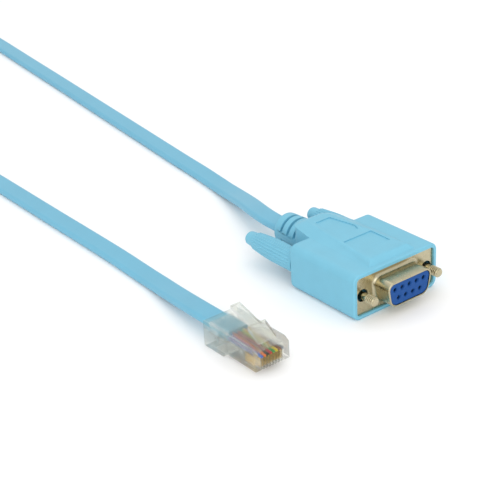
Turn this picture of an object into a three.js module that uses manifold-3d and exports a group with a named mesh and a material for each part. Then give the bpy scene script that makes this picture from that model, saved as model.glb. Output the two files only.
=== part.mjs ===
// Console cable: a flat light-blue cable with a nine-way D connector on one end and a clear
// eight-way modular plug on the other. Millimetres, +Z up, standing on z = 0. The origin is the
// middle of the hood's underside. -Y is the side that mates, +Y is where the cable leaves.
import * as THREE from 'three';
import { mergeVertices } from 'three/addons/utils/BufferGeometryUtils.js';
import Module from 'manifold-3d';

const wasm = await Module();
wasm.setup();

// Clearances
const GAP = 0.3; // between pieces that touch on the real cable
const FIT = 0.2; // around pieces held in a pocket
const OVERSHOOT = 1; // how far a cutter passes the face that it cuts
const CLOSE = 0.01; // radii nearer than this count as equal

// Screws and flange, which set the width and height of the hood round them
const SCREW_SPACING = 24.99;
const SCREW_TO_EDGE = 2.905; // from a screw's axis to the flange's end
const FLANGE_WIDTH = SCREW_SPACING + 2 * SCREW_TO_EDGE;
const FLANGE_HEIGHT = 12.5;

// Hood, moulded over the connector in one piece with its neck and strain relief
const SIDE_MARGIN = 0.85; // of the hood beside the flange
const TOP_MARGIN = 0.9; // of the hood above and below the flange
const HOOD_WIDTH = FLANGE_WIDTH + 2 * SIDE_MARGIN;
const HOOD_HEIGHT = FLANGE_HEIGHT + 2 * TOP_MARGIN;
const HOOD_DEPTH = 27.8;
const HOOD_CORNER = 2.4;
const HOOD_EDGE = 0.5;
const RIM_WALL = 1.2;
const RIM_CORNER = 1.6;
const POCKET_CORNER = 1; // of the pocket round the insulator
const SCREW_POCKET_RADIUS = 3.2; // hollow behind the flange, round each screw
const SCREW_POCKET_DEPTH = 8;

// Raised panel on the hood, which runs on behind it as the neck
const PANEL_RISE = 1.5;
const PANEL_FRONT = 1.7; // from the rim to the foot of the panel's front bevel
const PANEL_HALF = 8.75; // half width at the foot of the bevel
const PANEL_FRONT_BEVEL = 1.9;
const PANEL_SIDE_BEVEL = 1.65; // at the front corners
const PANEL_REAR_BEVEL = 3.9; // where the panel reaches the hood's rear
const NECK_LENGTH = 10;
const NECK_END_HALF = 6.8;
const NECK_END_BEVEL = 2.7;
const NECK_CORNER = 3;
const NECK_FLAT = 0.5; // least half width left straight between its corners
const NECK_BOTTOM = 0.9;
const NECK_FOOT = 0.7; // the chamfer along the neck's bottom edge

// Two shallow recesses in the raised panel
const RECESS_DEPTH = 0.3;
const FRONT_RECESS = { half: 5.45, front: 8.2, rear: 16.3 }; // measured from the rim
const REAR_RECESS = { front: 19.8, frontHalf: 3.7, wide: 22.4, wideHalf: 4.6, rear: 31.5, rearHalf: 2.8 };

// Round strain relief with slots that let it bend
const RELIEF_LENGTH = 11.4;
const RELIEF_FRONT_RADIUS = 5.6;
const RELIEF_END_RADIUS = 5.1;
const RELIEF_ROUND = 0.9;
const SLOT_COUNT = 3;
const SLOT_PITCH = 3.2;
const SLOT_FIRST = 1.3; // from the neck's end to the first slot's middle
const SLOT_WIDTH = 1;
const SLOT_DEPTH = 2.1;
const WEB_HEIGHT = 2.3; // of the solid webs left at both sides

// Steel front shell: a flange with a D-shaped shroud
const FLANGE_THICKNESS = 0.8;
const FLANGE_RECESS = 0.6; // behind the hood's rim
const FLANGE_HOLE_RADIUS = 1.95;
const SHROUD_HALF_WIDTH = 7.95; // at mid height, outside
const SHROUD_HALF_HEIGHT = 3.95;
const SHROUD_CORNER = 2.5;
const SHROUD_SLANT = THREE.MathUtils.degToRad(10);
const SHROUD_REACH = 6.2;
const SHROUD_WALL = 0.45;
const SHROUD_LIP = 0.3; // the rounding of the front lip
const ROOT_FLARE = 0.9; // how far the shroud's drawn root spreads
const ROOT_DEPTH = 0.9;

// Blue insulator with its socket contacts
const CONTACT_PITCH = 2.77;
const ROW_SPACING = 2.84;
const TOP_ROW = 5;
const BOTTOM_ROW = 4;
const INSULATOR_SINK = 0.15; // behind the shroud's lip
const INSULATOR_LENGTH = 11.4;
const ENTRY_RADIUS = 0.6;
const ENTRY_DEPTH = 0.8;
const SOCKET_RADIUS = 0.78;
const SOCKET_BORE = 0.5;
const SOCKET_LENGTH = 9.5;

// Thumbscrews: a steel screw in a ribbed knob, each turning in its bore through the hood
const THREAD_RADIUS = 1.42;
const THREAD_LENGTH = 3.2;
const THREAD_CHAMFER = 0.4;
const SHANK_RADIUS = 1.15;
const SCREW_REACH = 5; // in front of the hood's rim
const SCREW_GRIP = 10; // length held in the knob
const KNOB_GAP = 0.5; // between the hood and the knob
const KNOB_LENGTH = 23.4;
const KNOB_RADIUS = 3.5;
const KNOB_STRAIGHT = 10.5;
const KNOB_TAPER = 8.7;
const KNOB_WAIST_RADIUS = 2.85;
const KNOB_CROWN = 0.1; // how far the taper bulges at its middle
const KNOB_TIP_RADIUS = 2.3;
const KNOB_TIP_TAPER = 0.15;
const KNOB_TIP_ROUND = 1.1;
const RIB_COUNT = 22;
const RIB_DEPTH = 0.2;
const RIB_START = 1;

// Flat cable, 1.8 m long
const CABLE_WIDTH = 7;
const CABLE_THICKNESS = 2.4;
const CABLE_CHAMFER = 0.7;

// Coil of the spare length: both strands wind side by side, on edge, round an S at the middle
const COIL_X = -1.4;
const COIL_Y = 345;
const COIL_START = 31; // radius where the turns begin
const STRAND_PITCH = 2.6;
const COIL_TURNS = 2.442; // of the strand that comes from the hood
const TIE_THICKNESS = 0.6;
const TIE_WIDTH = 3;
const TIE_CORNER = 1.2; // outside
const TIE_ANGLES = [100, 220].map(THREE.MathUtils.degToRad);
const COIL_ENTRY = THREE.MathUtils.degToRad(-7); // where the hood's strand joins the coil

// Modular plug, measured from its nose
const PLUG_X = -48.7;
const PLUG_NOSE_Y = -17.7;
const PLUG_WIDTH = 11.68;
const PLUG_LENGTH = 22.9;
const PLUG_TOP = 7.9;
const PLUG_STEP = 1.6; // the front part's underside is this much higher
const STEP_START = 12.5;
const STEP_END = 14.4;
const NOSE_TOP = 6.8;
const NOSE_CHAMFER = 1.8;
const PLUG_EDGE = 0.3;
const JACKET_LEVEL = 5.15; // height of the cable's middle in the plug
const JACKET_END = 14.5;
const CHAMBER_HALF = 4.25;
const CHAMBER_BOTTOM = 4.55;
const CHAMBER_TOP = 6.75;
const NOSE_WALL = 0.8;
const CLAMP_POCKET = { front: 15.3, rear: 20, half: 3.4, top: 3 };
const WAY_COUNT = 8;
const WAY_PITCH = 1.02;
const WAY_WIDTH = 0.54;
const WAY_LENGTH = 6.6;
const WAY_TOP = 5.65;
const BLADE_WIDTH = 0.34;
const BLADE_FRONT = 1.1;
const BLADE_REAR = 6.1;
const BLADE_BOTTOM = 2;
const WIRE_RADIUS = 0.4;
const JACKET_PITCH = 0.84; // of the wires where they leave the jacket
const WIRE_END_LEVEL = 5.95;
const WIRE_BELOW = 0.15; // between a wire and the blade under it

// Latch on the plug, joined to it at the nose and free behind
const LATCH_WIDTH = 6;
const TAIL_WIDTH = 3.25;
const LATCH_ROOT = 1.9;
const LATCH_THICKNESS = 1;
const SHOULDER_Y = 6.4;
const SHOULDER_TOP = 11.9;
const SHOULDER_HEIGHT = 1.5;
const LATCH_FOOT = 0.7; // the strip's thickness at its root and where the tail starts
const TAIL_START_TOP = 11.3;
const TAIL_END = 15.5;
const TAIL_TOP = 14;

// How finely curves are drawn
const SIDES = { coil: 48, relief: 28, hole: 24, screw: 20, socket: 12, contact: 10 };
const ROUND_STEPS = 3; // of a rounded end
const CORNER_STEPS = 4; // of a corner seen from above
const S_STEPS = 8; // of each half of the coil's S
const CABLE_STEPS = { hood: 30, plug: 32, centre: 18 };

const AXIS_LEVEL = HOOD_HEIGHT / 2; // height of the connector, its screws and the relief
const RIM_Y = -HOOD_DEPTH / 2;
const HOOD_REAR_Y = HOOD_DEPTH / 2;
const NECK_END_Y = HOOD_REAR_Y + NECK_LENGTH;
const RELIEF_END_Y = NECK_END_Y + RELIEF_LENGTH;
const FLANGE_Y = RIM_Y + FLANGE_RECESS; // the flange's front face
const SHROUD_Y = FLANGE_Y - SHROUD_REACH;
const PANEL_LEVEL = HOOD_HEIGHT + PANEL_RISE;
const SCREW_X = SCREW_SPACING / 2;
const COIL_LEVEL = TIE_THICKNESS + GAP + CABLE_WIDTH / 2;

const vinyl = new THREE.MeshStandardMaterial({ color: 0x73b9d1, roughness: 0.6 });
const jacket = new THREE.MeshStandardMaterial({ color: 0x6db8d4, roughness: 0.55 });
const nickel = new THREE.MeshStandardMaterial({ color: 0xb5a88c, roughness: 0.3, metalness: 1 });
const blue = new THREE.MeshStandardMaterial({ color: 0x1d4f8a, roughness: 0.4 });
const gold = new THREE.MeshStandardMaterial({ color: 0xd8b45a, roughness: 0.3, metalness: 1 });
const clear = new THREE.MeshStandardMaterial({
  color: 0xe9e8e0, roughness: 0.1, transparent: true, opacity: 0.4,
});
const black = new THREE.MeshStandardMaterial({ color: 0x1b1b1d, roughness: 0.5 });
const WIRE_COLOURS = [0x3a62b0, 0xe07020, 0x202020, 0xb02020, 0x2f8f3a, 0xd8c030, 0x7a4a28, 0x8f9398];

// Turns a closed geometry into a solid that can be joined and cut
function solid(geometry) {
  const plain = geometry.clone();
  plain.deleteAttribute('normal');
  plain.deleteAttribute('uv');
  const merged = mergeVertices(plain, 1e-4);
  const corners = [];
  for (let i = 0; i < merged.index.count; i += 3) {
    const [a, b, c] = [0, 1, 2].map((k) => merged.index.getX(i + k));
    if (a !== b && b !== c && a !== c) corners.push(a, b, c);
  }
  return new wasm.Manifold(new wasm.Mesh({
    numProp: 3,
    vertProperties: new Float32Array(merged.attributes.position.array),
    triVerts: new Uint32Array(corners),
  }));
}

function geometryOf(body) {
  const { vertProperties, triVerts } = body.getMesh();
  const geometry = new THREE.BufferGeometry();
  geometry.setAttribute('position', new THREE.BufferAttribute(vertProperties, 3));
  geometry.setIndex(new THREE.BufferAttribute(triVerts, 1));
  geometry.computeVertexNormals();
  return geometry;
}

function mesh(name, geometry, material) {
  const piece = new THREE.Mesh(geometry, material);
  piece.name = name;
  return piece;
}

// A box given by its lowest and highest corners
function block([x0, y0, z0], [x1, y1, z1]) {
  const box = new THREE.BoxGeometry(x1 - x0, y1 - y0, z1 - z0);
  return box.translate((x0 + x1) / 2, (y0 + y1) / 2, (z0 + z1) / 2);
}

// A closed outline with every corner rounded, from corners in order round the middle
function roundedShape(corners, radius) {
  const points = [];
  corners.forEach((corner, i) => {
    const before = corners.at(i - 1).clone().sub(corner).normalize();
    const after = corners[(i + 1) % corners.length].clone().sub(corner).normalize();
    const half = before.angleTo(after) / 2;
    const middle = before.clone().add(after).normalize();
    const centre = middle.multiplyScalar(radius / Math.sin(half)).add(corner);
    const first = before.multiplyScalar(radius / Math.tan(half)).add(corner).sub(centre);
    const last = after.multiplyScalar(radius / Math.tan(half)).add(corner).sub(centre);
    const sweep = Math.atan2(first.cross(last), first.dot(last));
    for (let k = 0; k <= CORNER_STEPS; k += 1) {
      const turn = (sweep * k) / CORNER_STEPS;
      points.push(first.clone().rotateAround(new THREE.Vector2(), turn).add(centre));
    }
  });
  return new THREE.Shape(points);
}

function rectangle(width, height, radius) {
  const [x, y] = [width / 2, height / 2];
  const corners = [[-x, -y], [x, -y], [x, y], [-x, y]].map(([a, b]) => new THREE.Vector2(a, b));
  return roundedShape(corners, radius);
}

// The connector's D outline, moved inwards by inset
function dOutline(inset) {
  const y = SHROUD_HALF_HEIGHT - inset;
  const x = SHROUD_HALF_WIDTH - inset / Math.cos(SHROUD_SLANT);
  const lean = y * Math.tan(SHROUD_SLANT);
  const corners = [[lean - x, -y], [x - lean, -y], [x + lean, y], [-x - lean, y]];
  return roundedShape(corners.map(([a, b]) => new THREE.Vector2(a, b)), SHROUD_CORNER - inset);
}

// Extrudes an upright outline along Y between two planes, at the connector's height
function alongY(shape, front, rear, round = 0, level = AXIS_LEVEL) {
  const geometry = new THREE.ExtrudeGeometry(shape, {
    depth: rear - front - 2 * round,
    bevelEnabled: round > 0,
    bevelThickness: round,
    bevelSize: round,
    bevelOffset: -round,
    bevelSegments: 2,
    steps: 1,
  });
  return geometry.rotateX(Math.PI / 2).translate(0, rear - round, level);
}

// A turned piece on an axis along Y, from [radius, y] pairs
function turned(profile, segments, x = 0, level = AXIS_LEVEL) {
  const points = profile.map(([radius, y]) => new THREE.Vector2(radius, y));
  return new THREE.LatheGeometry(points, segments).translate(x, 0, level);
}

// The rounded far end of a turned piece, as [radius, y] pairs
function roundedEnd(radius, round, end) {
  return Array.from({ length: ROUND_STEPS + 1 }, (_, i) => {
    const turn = (i / ROUND_STEPS) * (Math.PI / 2);
    return [radius - round * (1 - Math.cos(turn)), end - round * (1 - Math.sin(turn))];
  });
}

// A closed body through level outlines that have the same number of points
function loft(levels) {
  const count = levels[0].points.length;
  const positions = levels.flatMap(({ z, points }) => points.flatMap(({ x, y }) => [x, y, z]));
  const faces = [];
  for (let level = 0; level < levels.length - 1; level += 1) {
    for (let i = 0; i < count; i += 1) {
      const a = level * count + i;
      const b = level * count + ((i + 1) % count);
      faces.push(a, b, b + count, a, b + count, a + count);
    }
  }
  const top = (levels.length - 1) * count;
  for (let i = 1; i < count - 1; i += 1) {
    faces.push(0, i + 1, i);
    faces.push(top, top + i, top + i + 1);
  }
  const geometry = new THREE.BufferGeometry();
  geometry.setAttribute('position', new THREE.Float32BufferAttribute(positions, 3));
  geometry.setIndex(faces);
  return geometry;
}

// The raised panel and neck seen from above, moved inwards from its foot
function panelOutline(frontInset, sideInset, rearInset, endInset) {
  const front = RIM_Y + PANEL_FRONT + frontInset;
  const endHalf = NECK_END_HALF - endInset;
  const end = NECK_END_Y - endInset;
  const side = [new THREE.Vector2(PANEL_HALF - sideInset, front)];
  side.push(new THREE.Vector2(PANEL_HALF - rearInset, HOOD_REAR_Y));
  const corner = Math.min(NECK_CORNER, endHalf - NECK_FLAT);
  for (let k = 0; k <= CORNER_STEPS; k += 1) {
    const turn = (k / CORNER_STEPS) * (Math.PI / 2);
    const x = endHalf - corner + corner * Math.cos(turn);
    side.push(new THREE.Vector2(x, end - corner + corner * Math.sin(turn)));
  }
  const mirrored = side.map(({ x, y }) => new THREE.Vector2(-x, y)).reverse();
  return [...side, ...mirrored];
}

function panelAndNeck() {
  const foot = panelOutline(NECK_FOOT, NECK_FOOT, NECK_FOOT, NECK_FOOT);
  const straight = panelOutline(0, 0, 0, 0);
  const top = panelOutline(PANEL_FRONT_BEVEL, PANEL_SIDE_BEVEL, PANEL_REAR_BEVEL, NECK_END_BEVEL);
  return solid(loft([
    { z: NECK_BOTTOM, points: foot },
    { z: NECK_BOTTOM + NECK_FOOT, points: straight },
    { z: HOOD_HEIGHT, points: straight },
    { z: PANEL_LEVEL, points: top },
  ]));
}

function panelRecesses() {
  const bottom = PANEL_LEVEL - RECESS_DEPTH;
  const { half, front, rear } = FRONT_RECESS;
  const frontCut = block(
    [-half, RIM_Y + front, bottom],
    [half, RIM_Y + rear, PANEL_LEVEL + OVERSHOOT],
  );
  const r = REAR_RECESS;
  const side = [[r.frontHalf, r.front], [r.wideHalf, r.wide], [r.rearHalf, r.rear]];
  const right = side.map(([x, y]) => new THREE.Vector2(x, RIM_Y + y));
  const left = right.map(({ x, y }) => new THREE.Vector2(-x, y)).reverse();
  const rearCut = loft([
    { z: bottom, points: [...right, ...left] },
    { z: PANEL_LEVEL + OVERSHOOT, points: [...right, ...left] },
  ]);
  return solid(frontCut).add(solid(rearCut));
}

function strainRelief() {
  const start = HOOD_REAR_Y;
  const body = solid(turned([
    [0, start],
    [RELIEF_FRONT_RADIUS, start],
    [RELIEF_FRONT_RADIUS, NECK_END_Y],
    ...roundedEnd(RELIEF_END_RADIUS, RELIEF_ROUND, RELIEF_END_Y),
    [0, RELIEF_END_Y],
  ], SIDES.relief));
  const reach = RELIEF_FRONT_RADIUS + OVERSHOOT;
  const web = solid(block(
    [-reach, HOOD_REAR_Y, AXIS_LEVEL - WEB_HEIGHT / 2],
    [reach, RELIEF_END_Y, AXIS_LEVEL + WEB_HEIGHT / 2],
  ));
  const core = RELIEF_FRONT_RADIUS - SLOT_DEPTH;
  const slots = Array.from({ length: SLOT_COUNT }, (_, i) => {
    const front = NECK_END_Y + SLOT_FIRST + i * SLOT_PITCH - SLOT_WIDTH / 2;
    const rear = front + SLOT_WIDTH;
    const section = [[core, front], [reach, front], [reach, rear], [core, rear]];
    return solid(turned([...section, section[0]], SIDES.relief));
  });
  return slots.reduce((relief, slot) => relief.subtract(slot.subtract(web)), body);
}

function hood() {
  const box = solid(alongY(rectangle(HOOD_WIDTH, HOOD_HEIGHT, HOOD_CORNER), RIM_Y, HOOD_REAR_Y, HOOD_EDGE));
  const opening = rectangle(HOOD_WIDTH - 2 * RIM_WALL, HOOD_HEIGHT - 2 * RIM_WALL, RIM_CORNER);
  const mouth = alongY(opening, RIM_Y - OVERSHOOT, FLANGE_Y + FLANGE_THICKNESS);
  const groove = alongY(
    rectangle(FLANGE_WIDTH + 2 * FIT, FLANGE_HEIGHT + 2 * FIT, RIM_CORNER),
    FLANGE_Y - FIT,
    FLANGE_Y + FLANGE_THICKNESS + FIT,
  );
  const behind = alongY(
    rectangle(2 * (SHROUD_HALF_WIDTH + ROOT_FLARE), 2 * (SHROUD_HALF_HEIGHT + FIT), POCKET_CORNER),
    FLANGE_Y,
    SHROUD_Y + INSULATOR_SINK + INSULATOR_LENGTH + FIT,
  );
  const cuts = [mouth, groove, behind].map(solid);
  const bore = THREAD_RADIUS + FIT;
  const pocketEnd = FLANGE_Y + FLANGE_THICKNESS + SCREW_POCKET_DEPTH;
  for (const x of [-SCREW_X, SCREW_X]) {
    cuts.push(solid(turned([
      [0, RIM_Y],
      [FLANGE_HOLE_RADIUS, RIM_Y],
      [FLANGE_HOLE_RADIUS, FLANGE_Y + FLANGE_THICKNESS],
      [SCREW_POCKET_RADIUS, FLANGE_Y + FLANGE_THICKNESS],
      [SCREW_POCKET_RADIUS, pocketEnd],
      [bore, pocketEnd],
      [bore, HOOD_REAR_Y + OVERSHOOT],
      [0, HOOD_REAR_Y + OVERSHOOT],
    ], SIDES.screw, x)));
  }
  cuts.push(panelRecesses());
  const whole = box.add(panelAndNeck()).add(strainRelief());
  return mesh('hood', geometryOf(cuts.reduce((body, cut) => body.subtract(cut), whole)), vinyl);
}

function flangeShell() {
  const plate = solid(alongY(
    rectangle(FLANGE_WIDTH, FLANGE_HEIGHT, RIM_CORNER),
    FLANGE_Y,
    FLANGE_Y + FLANGE_THICKNESS,
  ));
  const shroud = solid(alongY(dOutline(0), SHROUD_Y, FLANGE_Y + SHROUD_LIP + FIT, SHROUD_LIP));
  const root = solid(alongY(dOutline(-ROOT_FLARE), FLANGE_Y - ROOT_DEPTH, FLANGE_Y + ROOT_DEPTH, ROOT_DEPTH));
  const inside = solid(alongY(dOutline(SHROUD_WALL), SHROUD_Y - OVERSHOOT, FLANGE_Y + 2 * OVERSHOOT));
  const behindPlate = solid(block(
    [-HOOD_WIDTH, FLANGE_Y + FLANGE_THICKNESS, 0],
    [HOOD_WIDTH, FLANGE_Y + 3 * OVERSHOOT, HOOD_HEIGHT],
  ));
  let shell = plate.add(shroud).add(root).subtract(inside).subtract(behindPlate);
  for (const x of [-SCREW_X, SCREW_X]) {
    const [front, rear] = [FLANGE_Y - OVERSHOOT, FLANGE_Y + FLANGE_THICKNESS + OVERSHOOT];
    const profile = [[0, front], [FLANGE_HOLE_RADIUS, front], [FLANGE_HOLE_RADIUS, rear], [0, rear]];
    shell = shell.subtract(solid(turned(profile, SIDES.hole, x)));
  }
  return mesh('flange_shell', geometryOf(shell), nickel);
}

function contactPlaces() {
  const row = (count, level) => Array.from({ length: count }, (_, i) => (
    { x: (i - (count - 1) / 2) * CONTACT_PITCH, level }
  ));
  return [
    ...row(TOP_ROW, AXIS_LEVEL + ROW_SPACING / 2),
    ...row(BOTTOM_ROW, AXIS_LEVEL - ROW_SPACING / 2),
  ];
}

function insulator() {
  const front = SHROUD_Y + INSULATOR_SINK;
  const rear = front + INSULATOR_LENGTH;
  const cavity = SOCKET_RADIUS + FIT / 2;
  const body = solid(alongY(dOutline(SHROUD_WALL + FIT), front, rear));
  const bored = contactPlaces().reduce((left, { x, level }) => left.subtract(solid(turned([
    [0, front - OVERSHOOT],
    [ENTRY_RADIUS, front - OVERSHOOT],
    [ENTRY_RADIUS, front + ENTRY_DEPTH],
    [cavity, front + ENTRY_DEPTH],
    [cavity, rear + OVERSHOOT],
    [0, rear + OVERSHOOT],
  ], SIDES.socket, x, level))), body);
  return mesh('insulator', geometryOf(bored), blue);
}

// Socket contacts are tubes, numbered along the top row and then the bottom row
function socketContacts() {
  const front = SHROUD_Y + INSULATOR_SINK + ENTRY_DEPTH + FIT;
  const rear = front + SOCKET_LENGTH;
  return contactPlaces().map(({ x, level }, i) => {
    const wall = [[SOCKET_BORE, front], [SOCKET_RADIUS, front], [SOCKET_RADIUS, rear], [SOCKET_BORE, rear]];
    const tube = turned([...wall, wall[0]], SIDES.contact, x, level);
    return mesh(`socket_contact_${i + 1}`, tube, gold);
  });
}

function screw(side, x) {
  const tip = RIM_Y - SCREW_REACH;
  const end = HOOD_REAR_Y + KNOB_GAP + SCREW_GRIP;
  return mesh(`screw_${side}`, turned([
    [0, tip],
    [THREAD_RADIUS - THREAD_CHAMFER, tip],
    [THREAD_RADIUS, tip + THREAD_CHAMFER],
    [THREAD_RADIUS, tip + THREAD_LENGTH],
    [SHANK_RADIUS, tip + THREAD_LENGTH + THREAD_CHAMFER],
    [SHANK_RADIUS, end],
    [0, end],
  ], SIDES.screw, x), nickel);
}

// The knob's ribs are made by drawing every other line of the turned sleeve inwards
function knob(side, x) {
  const front = HOOD_REAR_Y + KNOB_GAP;
  const waist = front + KNOB_STRAIGHT + KNOB_TAPER;
  const tip = front + KNOB_LENGTH;
  const bore = SHANK_RADIUS + FIT;
  const boreEnd = front + SCREW_GRIP + FIT;
  const geometry = turned([
    [0, boreEnd],
    [bore, boreEnd],
    [bore, front],
    [KNOB_RADIUS - RIB_DEPTH, front],
    [KNOB_RADIUS, front + RIB_START],
    [KNOB_RADIUS, front + KNOB_STRAIGHT],
    [(KNOB_RADIUS + KNOB_WAIST_RADIUS) / 2 + KNOB_CROWN, (front + KNOB_STRAIGHT + waist) / 2],
    [KNOB_WAIST_RADIUS, waist],
    [KNOB_TIP_RADIUS, waist],
    ...roundedEnd(KNOB_TIP_RADIUS - KNOB_TIP_TAPER, KNOB_TIP_ROUND, tip),
    [0, tip],
  ], 2 * RIB_COUNT, 0, 0);
  const places = geometry.attributes.position;
  for (let i = 0; i < places.count; i += 1) {
    const [px, py, pz] = [places.getX(i), places.getY(i), places.getZ(i)];
    const radius = Math.hypot(px, pz);
    const line = Math.round((Math.atan2(px, pz) / Math.PI) * RIB_COUNT);
    const ribbed = py >= front + RIB_START && radius >= KNOB_WAIST_RADIUS - CLOSE;
    const drawn = ribbed && Math.abs(line % 2) === 1 ? (radius - RIB_DEPTH) / radius : 1;
    places.setXYZ(i, px * drawn, py, pz * drawn);
  }
  return mesh(`knob_${side}`, geometry.translate(x, 0, AXIS_LEVEL), vinyl);
}

// A flat cable along a curve. Its width lies level, turned about the curve by turnAt(point).
class FlatRun extends THREE.CatmullRomCurve3 {
  constructor(points, turnAt) {
    super(points, false, 'centripetal');
    this.turnAt = turnAt;
  }

  computeFrenetFrames(segments) {
    const frames = { tangents: [], normals: [], binormals: [] };
    for (let i = 0; i <= segments; i += 1) {
      const along = this.getTangentAt(i / segments);
      const across = new THREE.Vector3(along.y, -along.x, 0).normalize();
      across.applyAxisAngle(along, this.turnAt(this.getPointAt(i / segments)));
      frames.tangents.push(along);
      frames.normals.push(across);
      frames.binormals.push(new THREE.Vector3().crossVectors(along, across));
    }
    return frames;
  }
}

function flatTube(points, turnAt, steps) {
  const [x, y, c] = [CABLE_WIDTH / 2, CABLE_THICKNESS / 2, CABLE_CHAMFER];
  const corners = [
    [x, c - y], [x, y - c], [x - c, y], [c - x, y], [-x, y - c], [-x, c - y], [c - x, -y], [x - c, -y],
  ];
  const section = new THREE.Shape(corners.map(([a, b]) => new THREE.Vector2(a, b)));
  const path = new FlatRun(points.map((p) => new THREE.Vector3(...p)), turnAt);
  return new THREE.ExtrudeGeometry(section, { steps, bevelEnabled: false, extrudePath: path });
}

// A quarter turn onto the cable's edge, made between two places along Y
function quarterTurn(from, to) {
  return ({ y }) => THREE.MathUtils.smoothstep(y, from, to) * (Math.PI / 2);
}

// The free cable from the strain relief to the coil
const HOOD_RUN = [
  [0, RELIEF_END_Y + GAP, AXIS_LEVEL], [0.3, 43, 7.1], [1.4, 49, 6.75], [3, 54.5, 6.15],
  [4.9, 60, 5.25], [6.8, 65.5, 4.2], [8.6, 71, 3.1], [10.2, 77, 2.2], [11.5, 83, 1.6],
  [12.6, 89, 1.35], [14.1, 100, 1.3], [15.7, 114.7, 1.3], [17.7, 131.7, 1.3], [20.4, 154.6, 1.3],
  [23.5, 181.1, 1.3], [28.1, 220.1, 1.3], [31.8, 252.4, 1.3], [35.4, 283, 1.3], [37.4, 300, 1.35],
  [38.6, 310, 2], [39.7, 320, 3.3], [40.9, 330, 4.2], [41.97, 339.67, 4.4],
];
const HOOD_RUN_TURN = [300, 338];

// The free cable from inside the plug to the coil
const PLUG_RUN = [
  [PLUG_X, PLUG_NOSE_Y + JACKET_END, JACKET_LEVEL], [PLUG_X, 4, JACKET_LEVEL], [-48.6, 9, 5.1],
  [-48.4, 14, 4.85], [-47.9, 19, 4.35], [-47.2, 24.5, 3.65], [-46.4, 30, 2.9], [-45.6, 35.5, 2.2],
  [-44.9, 41, 1.65], [-44.5, 47, 1.35], [-44.2, 54, 1.3], [-43.8, 66, 1.3], [-43.6, 84, 1.3],
  [-43.5, 104, 1.3], [-43.3, 124, 1.3], [-43.1, 144, 1.3], [-43, 160, 1.35], [-43, 175, 2.6],
  [-43, 190, 3.9], [-43, 208, 4.4], [-43, 226, 4.4], [-42, 245, 4.4], [-37.7, 263, 4.4],
  [-29.2, 278.3, 4.4], [-17.5, 290, 4.4], [-3, 298.3, 4.4], [13.55, 303.94, 4.4],
];
const PLUG_RUN_TURN = [160, 205];

const COIL_INSIDE = COIL_START - CABLE_THICKNESS / 2 - GAP;
const COIL_OUTSIDE = COIL_START + 2 * STRAND_PITCH * COIL_TURNS - CABLE_THICKNESS / 2 - GAP;

function coil() {
  const [low, high] = [COIL_LEVEL - CABLE_WIDTH / 2, COIL_LEVEL + CABLE_WIDTH / 2];
  const section = [[COIL_INSIDE, low], [COIL_OUTSIDE, low], [COIL_OUTSIDE, high], [COIL_INSIDE, high]];
  const points = [...section, section[0]].map(([r, z]) => new THREE.Vector2(r, z));
  const ring = new THREE.LatheGeometry(points, SIDES.coil).rotateX(Math.PI / 2);
  return mesh('cable_coil', ring.translate(COIL_X, COIL_Y, 0), jacket);
}

// The S in the middle of the coil, where one strand turns back into the other
function coilCentre() {
  const radius = COIL_START / 2;
  const inner = COIL_INSIDE - GAP - CABLE_THICKNESS / 2;
  const skipped = 2 * Math.acos(inner / (2 * radius));
  const lead = COIL_ENTRY + 2 * Math.PI * COIL_TURNS;
  const half = [];
  for (let k = 0; k <= S_STEPS; k += 1) {
    const turn = skipped + ((Math.PI - skipped) * k) / S_STEPS;
    half.push([radius + radius * Math.cos(turn), radius * Math.sin(turn)]);
  }
  const there = half.map(([x, y]) => new THREE.Vector2(x, y));
  const back = there.slice(0, -1).reverse().map((p) => p.clone().negate());
  const points = [...there, ...back].map((p) => p.rotateAround(new THREE.Vector2(), lead));
  const path = points.map(({ x, y }) => [COIL_X + x, COIL_Y + y, COIL_LEVEL]);
  return mesh('cable_coil_centre', flatTube(path, () => Math.PI / 2, CABLE_STEPS.centre), jacket);
}

// A flat tie once round all the turns
function tie(name, angle) {
  const height = CABLE_WIDTH + 2 * GAP;
  const width = COIL_OUTSIDE - COIL_INSIDE + 2 * GAP;
  const outer = rectangle(width + 2 * TIE_THICKNESS, height + 2 * TIE_THICKNESS, TIE_CORNER);
  const inner = rectangle(width, height, TIE_CORNER - TIE_THICKNESS);
  outer.holes.push(new THREE.Path(inner.getPoints().reverse()));
  const band = new THREE.ExtrudeGeometry(outer, { depth: TIE_WIDTH, bevelEnabled: false, steps: 1 });
  band.rotateX(Math.PI / 2).translate((COIL_INSIDE + COIL_OUTSIDE) / 2, TIE_WIDTH / 2, COIL_LEVEL);
  return mesh(name, band.rotateZ(angle).translate(COIL_X, COIL_Y, 0), black);
}

// The side view of a plug piece, extruded across it. Corners are [y, z] pairs.
function acrossPlug(corners, width, round = 0) {
  const shape = new THREE.Shape(corners.map(([y, z]) => new THREE.Vector2(y, z)));
  const geometry = new THREE.ExtrudeGeometry(shape, {
    depth: width - 2 * round,
    bevelEnabled: round > 0,
    bevelThickness: round,
    bevelSize: round,
    bevelOffset: -round,
    bevelSegments: 1,
    steps: 1,
  });
  // The outline's first axis becomes Y and its second becomes Z
  const turn = new THREE.Matrix4().makeBasis(
    new THREE.Vector3(0, 1, 0),
    new THREE.Vector3(0, 0, 1),
    new THREE.Vector3(1, 0, 0),
  );
  return geometry.applyMatrix4(turn).translate(round - width / 2, 0, 0);
}

function wayPlaces() {
  return Array.from({ length: WAY_COUNT }, (_, i) => i - (WAY_COUNT - 1) / 2);
}

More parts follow.
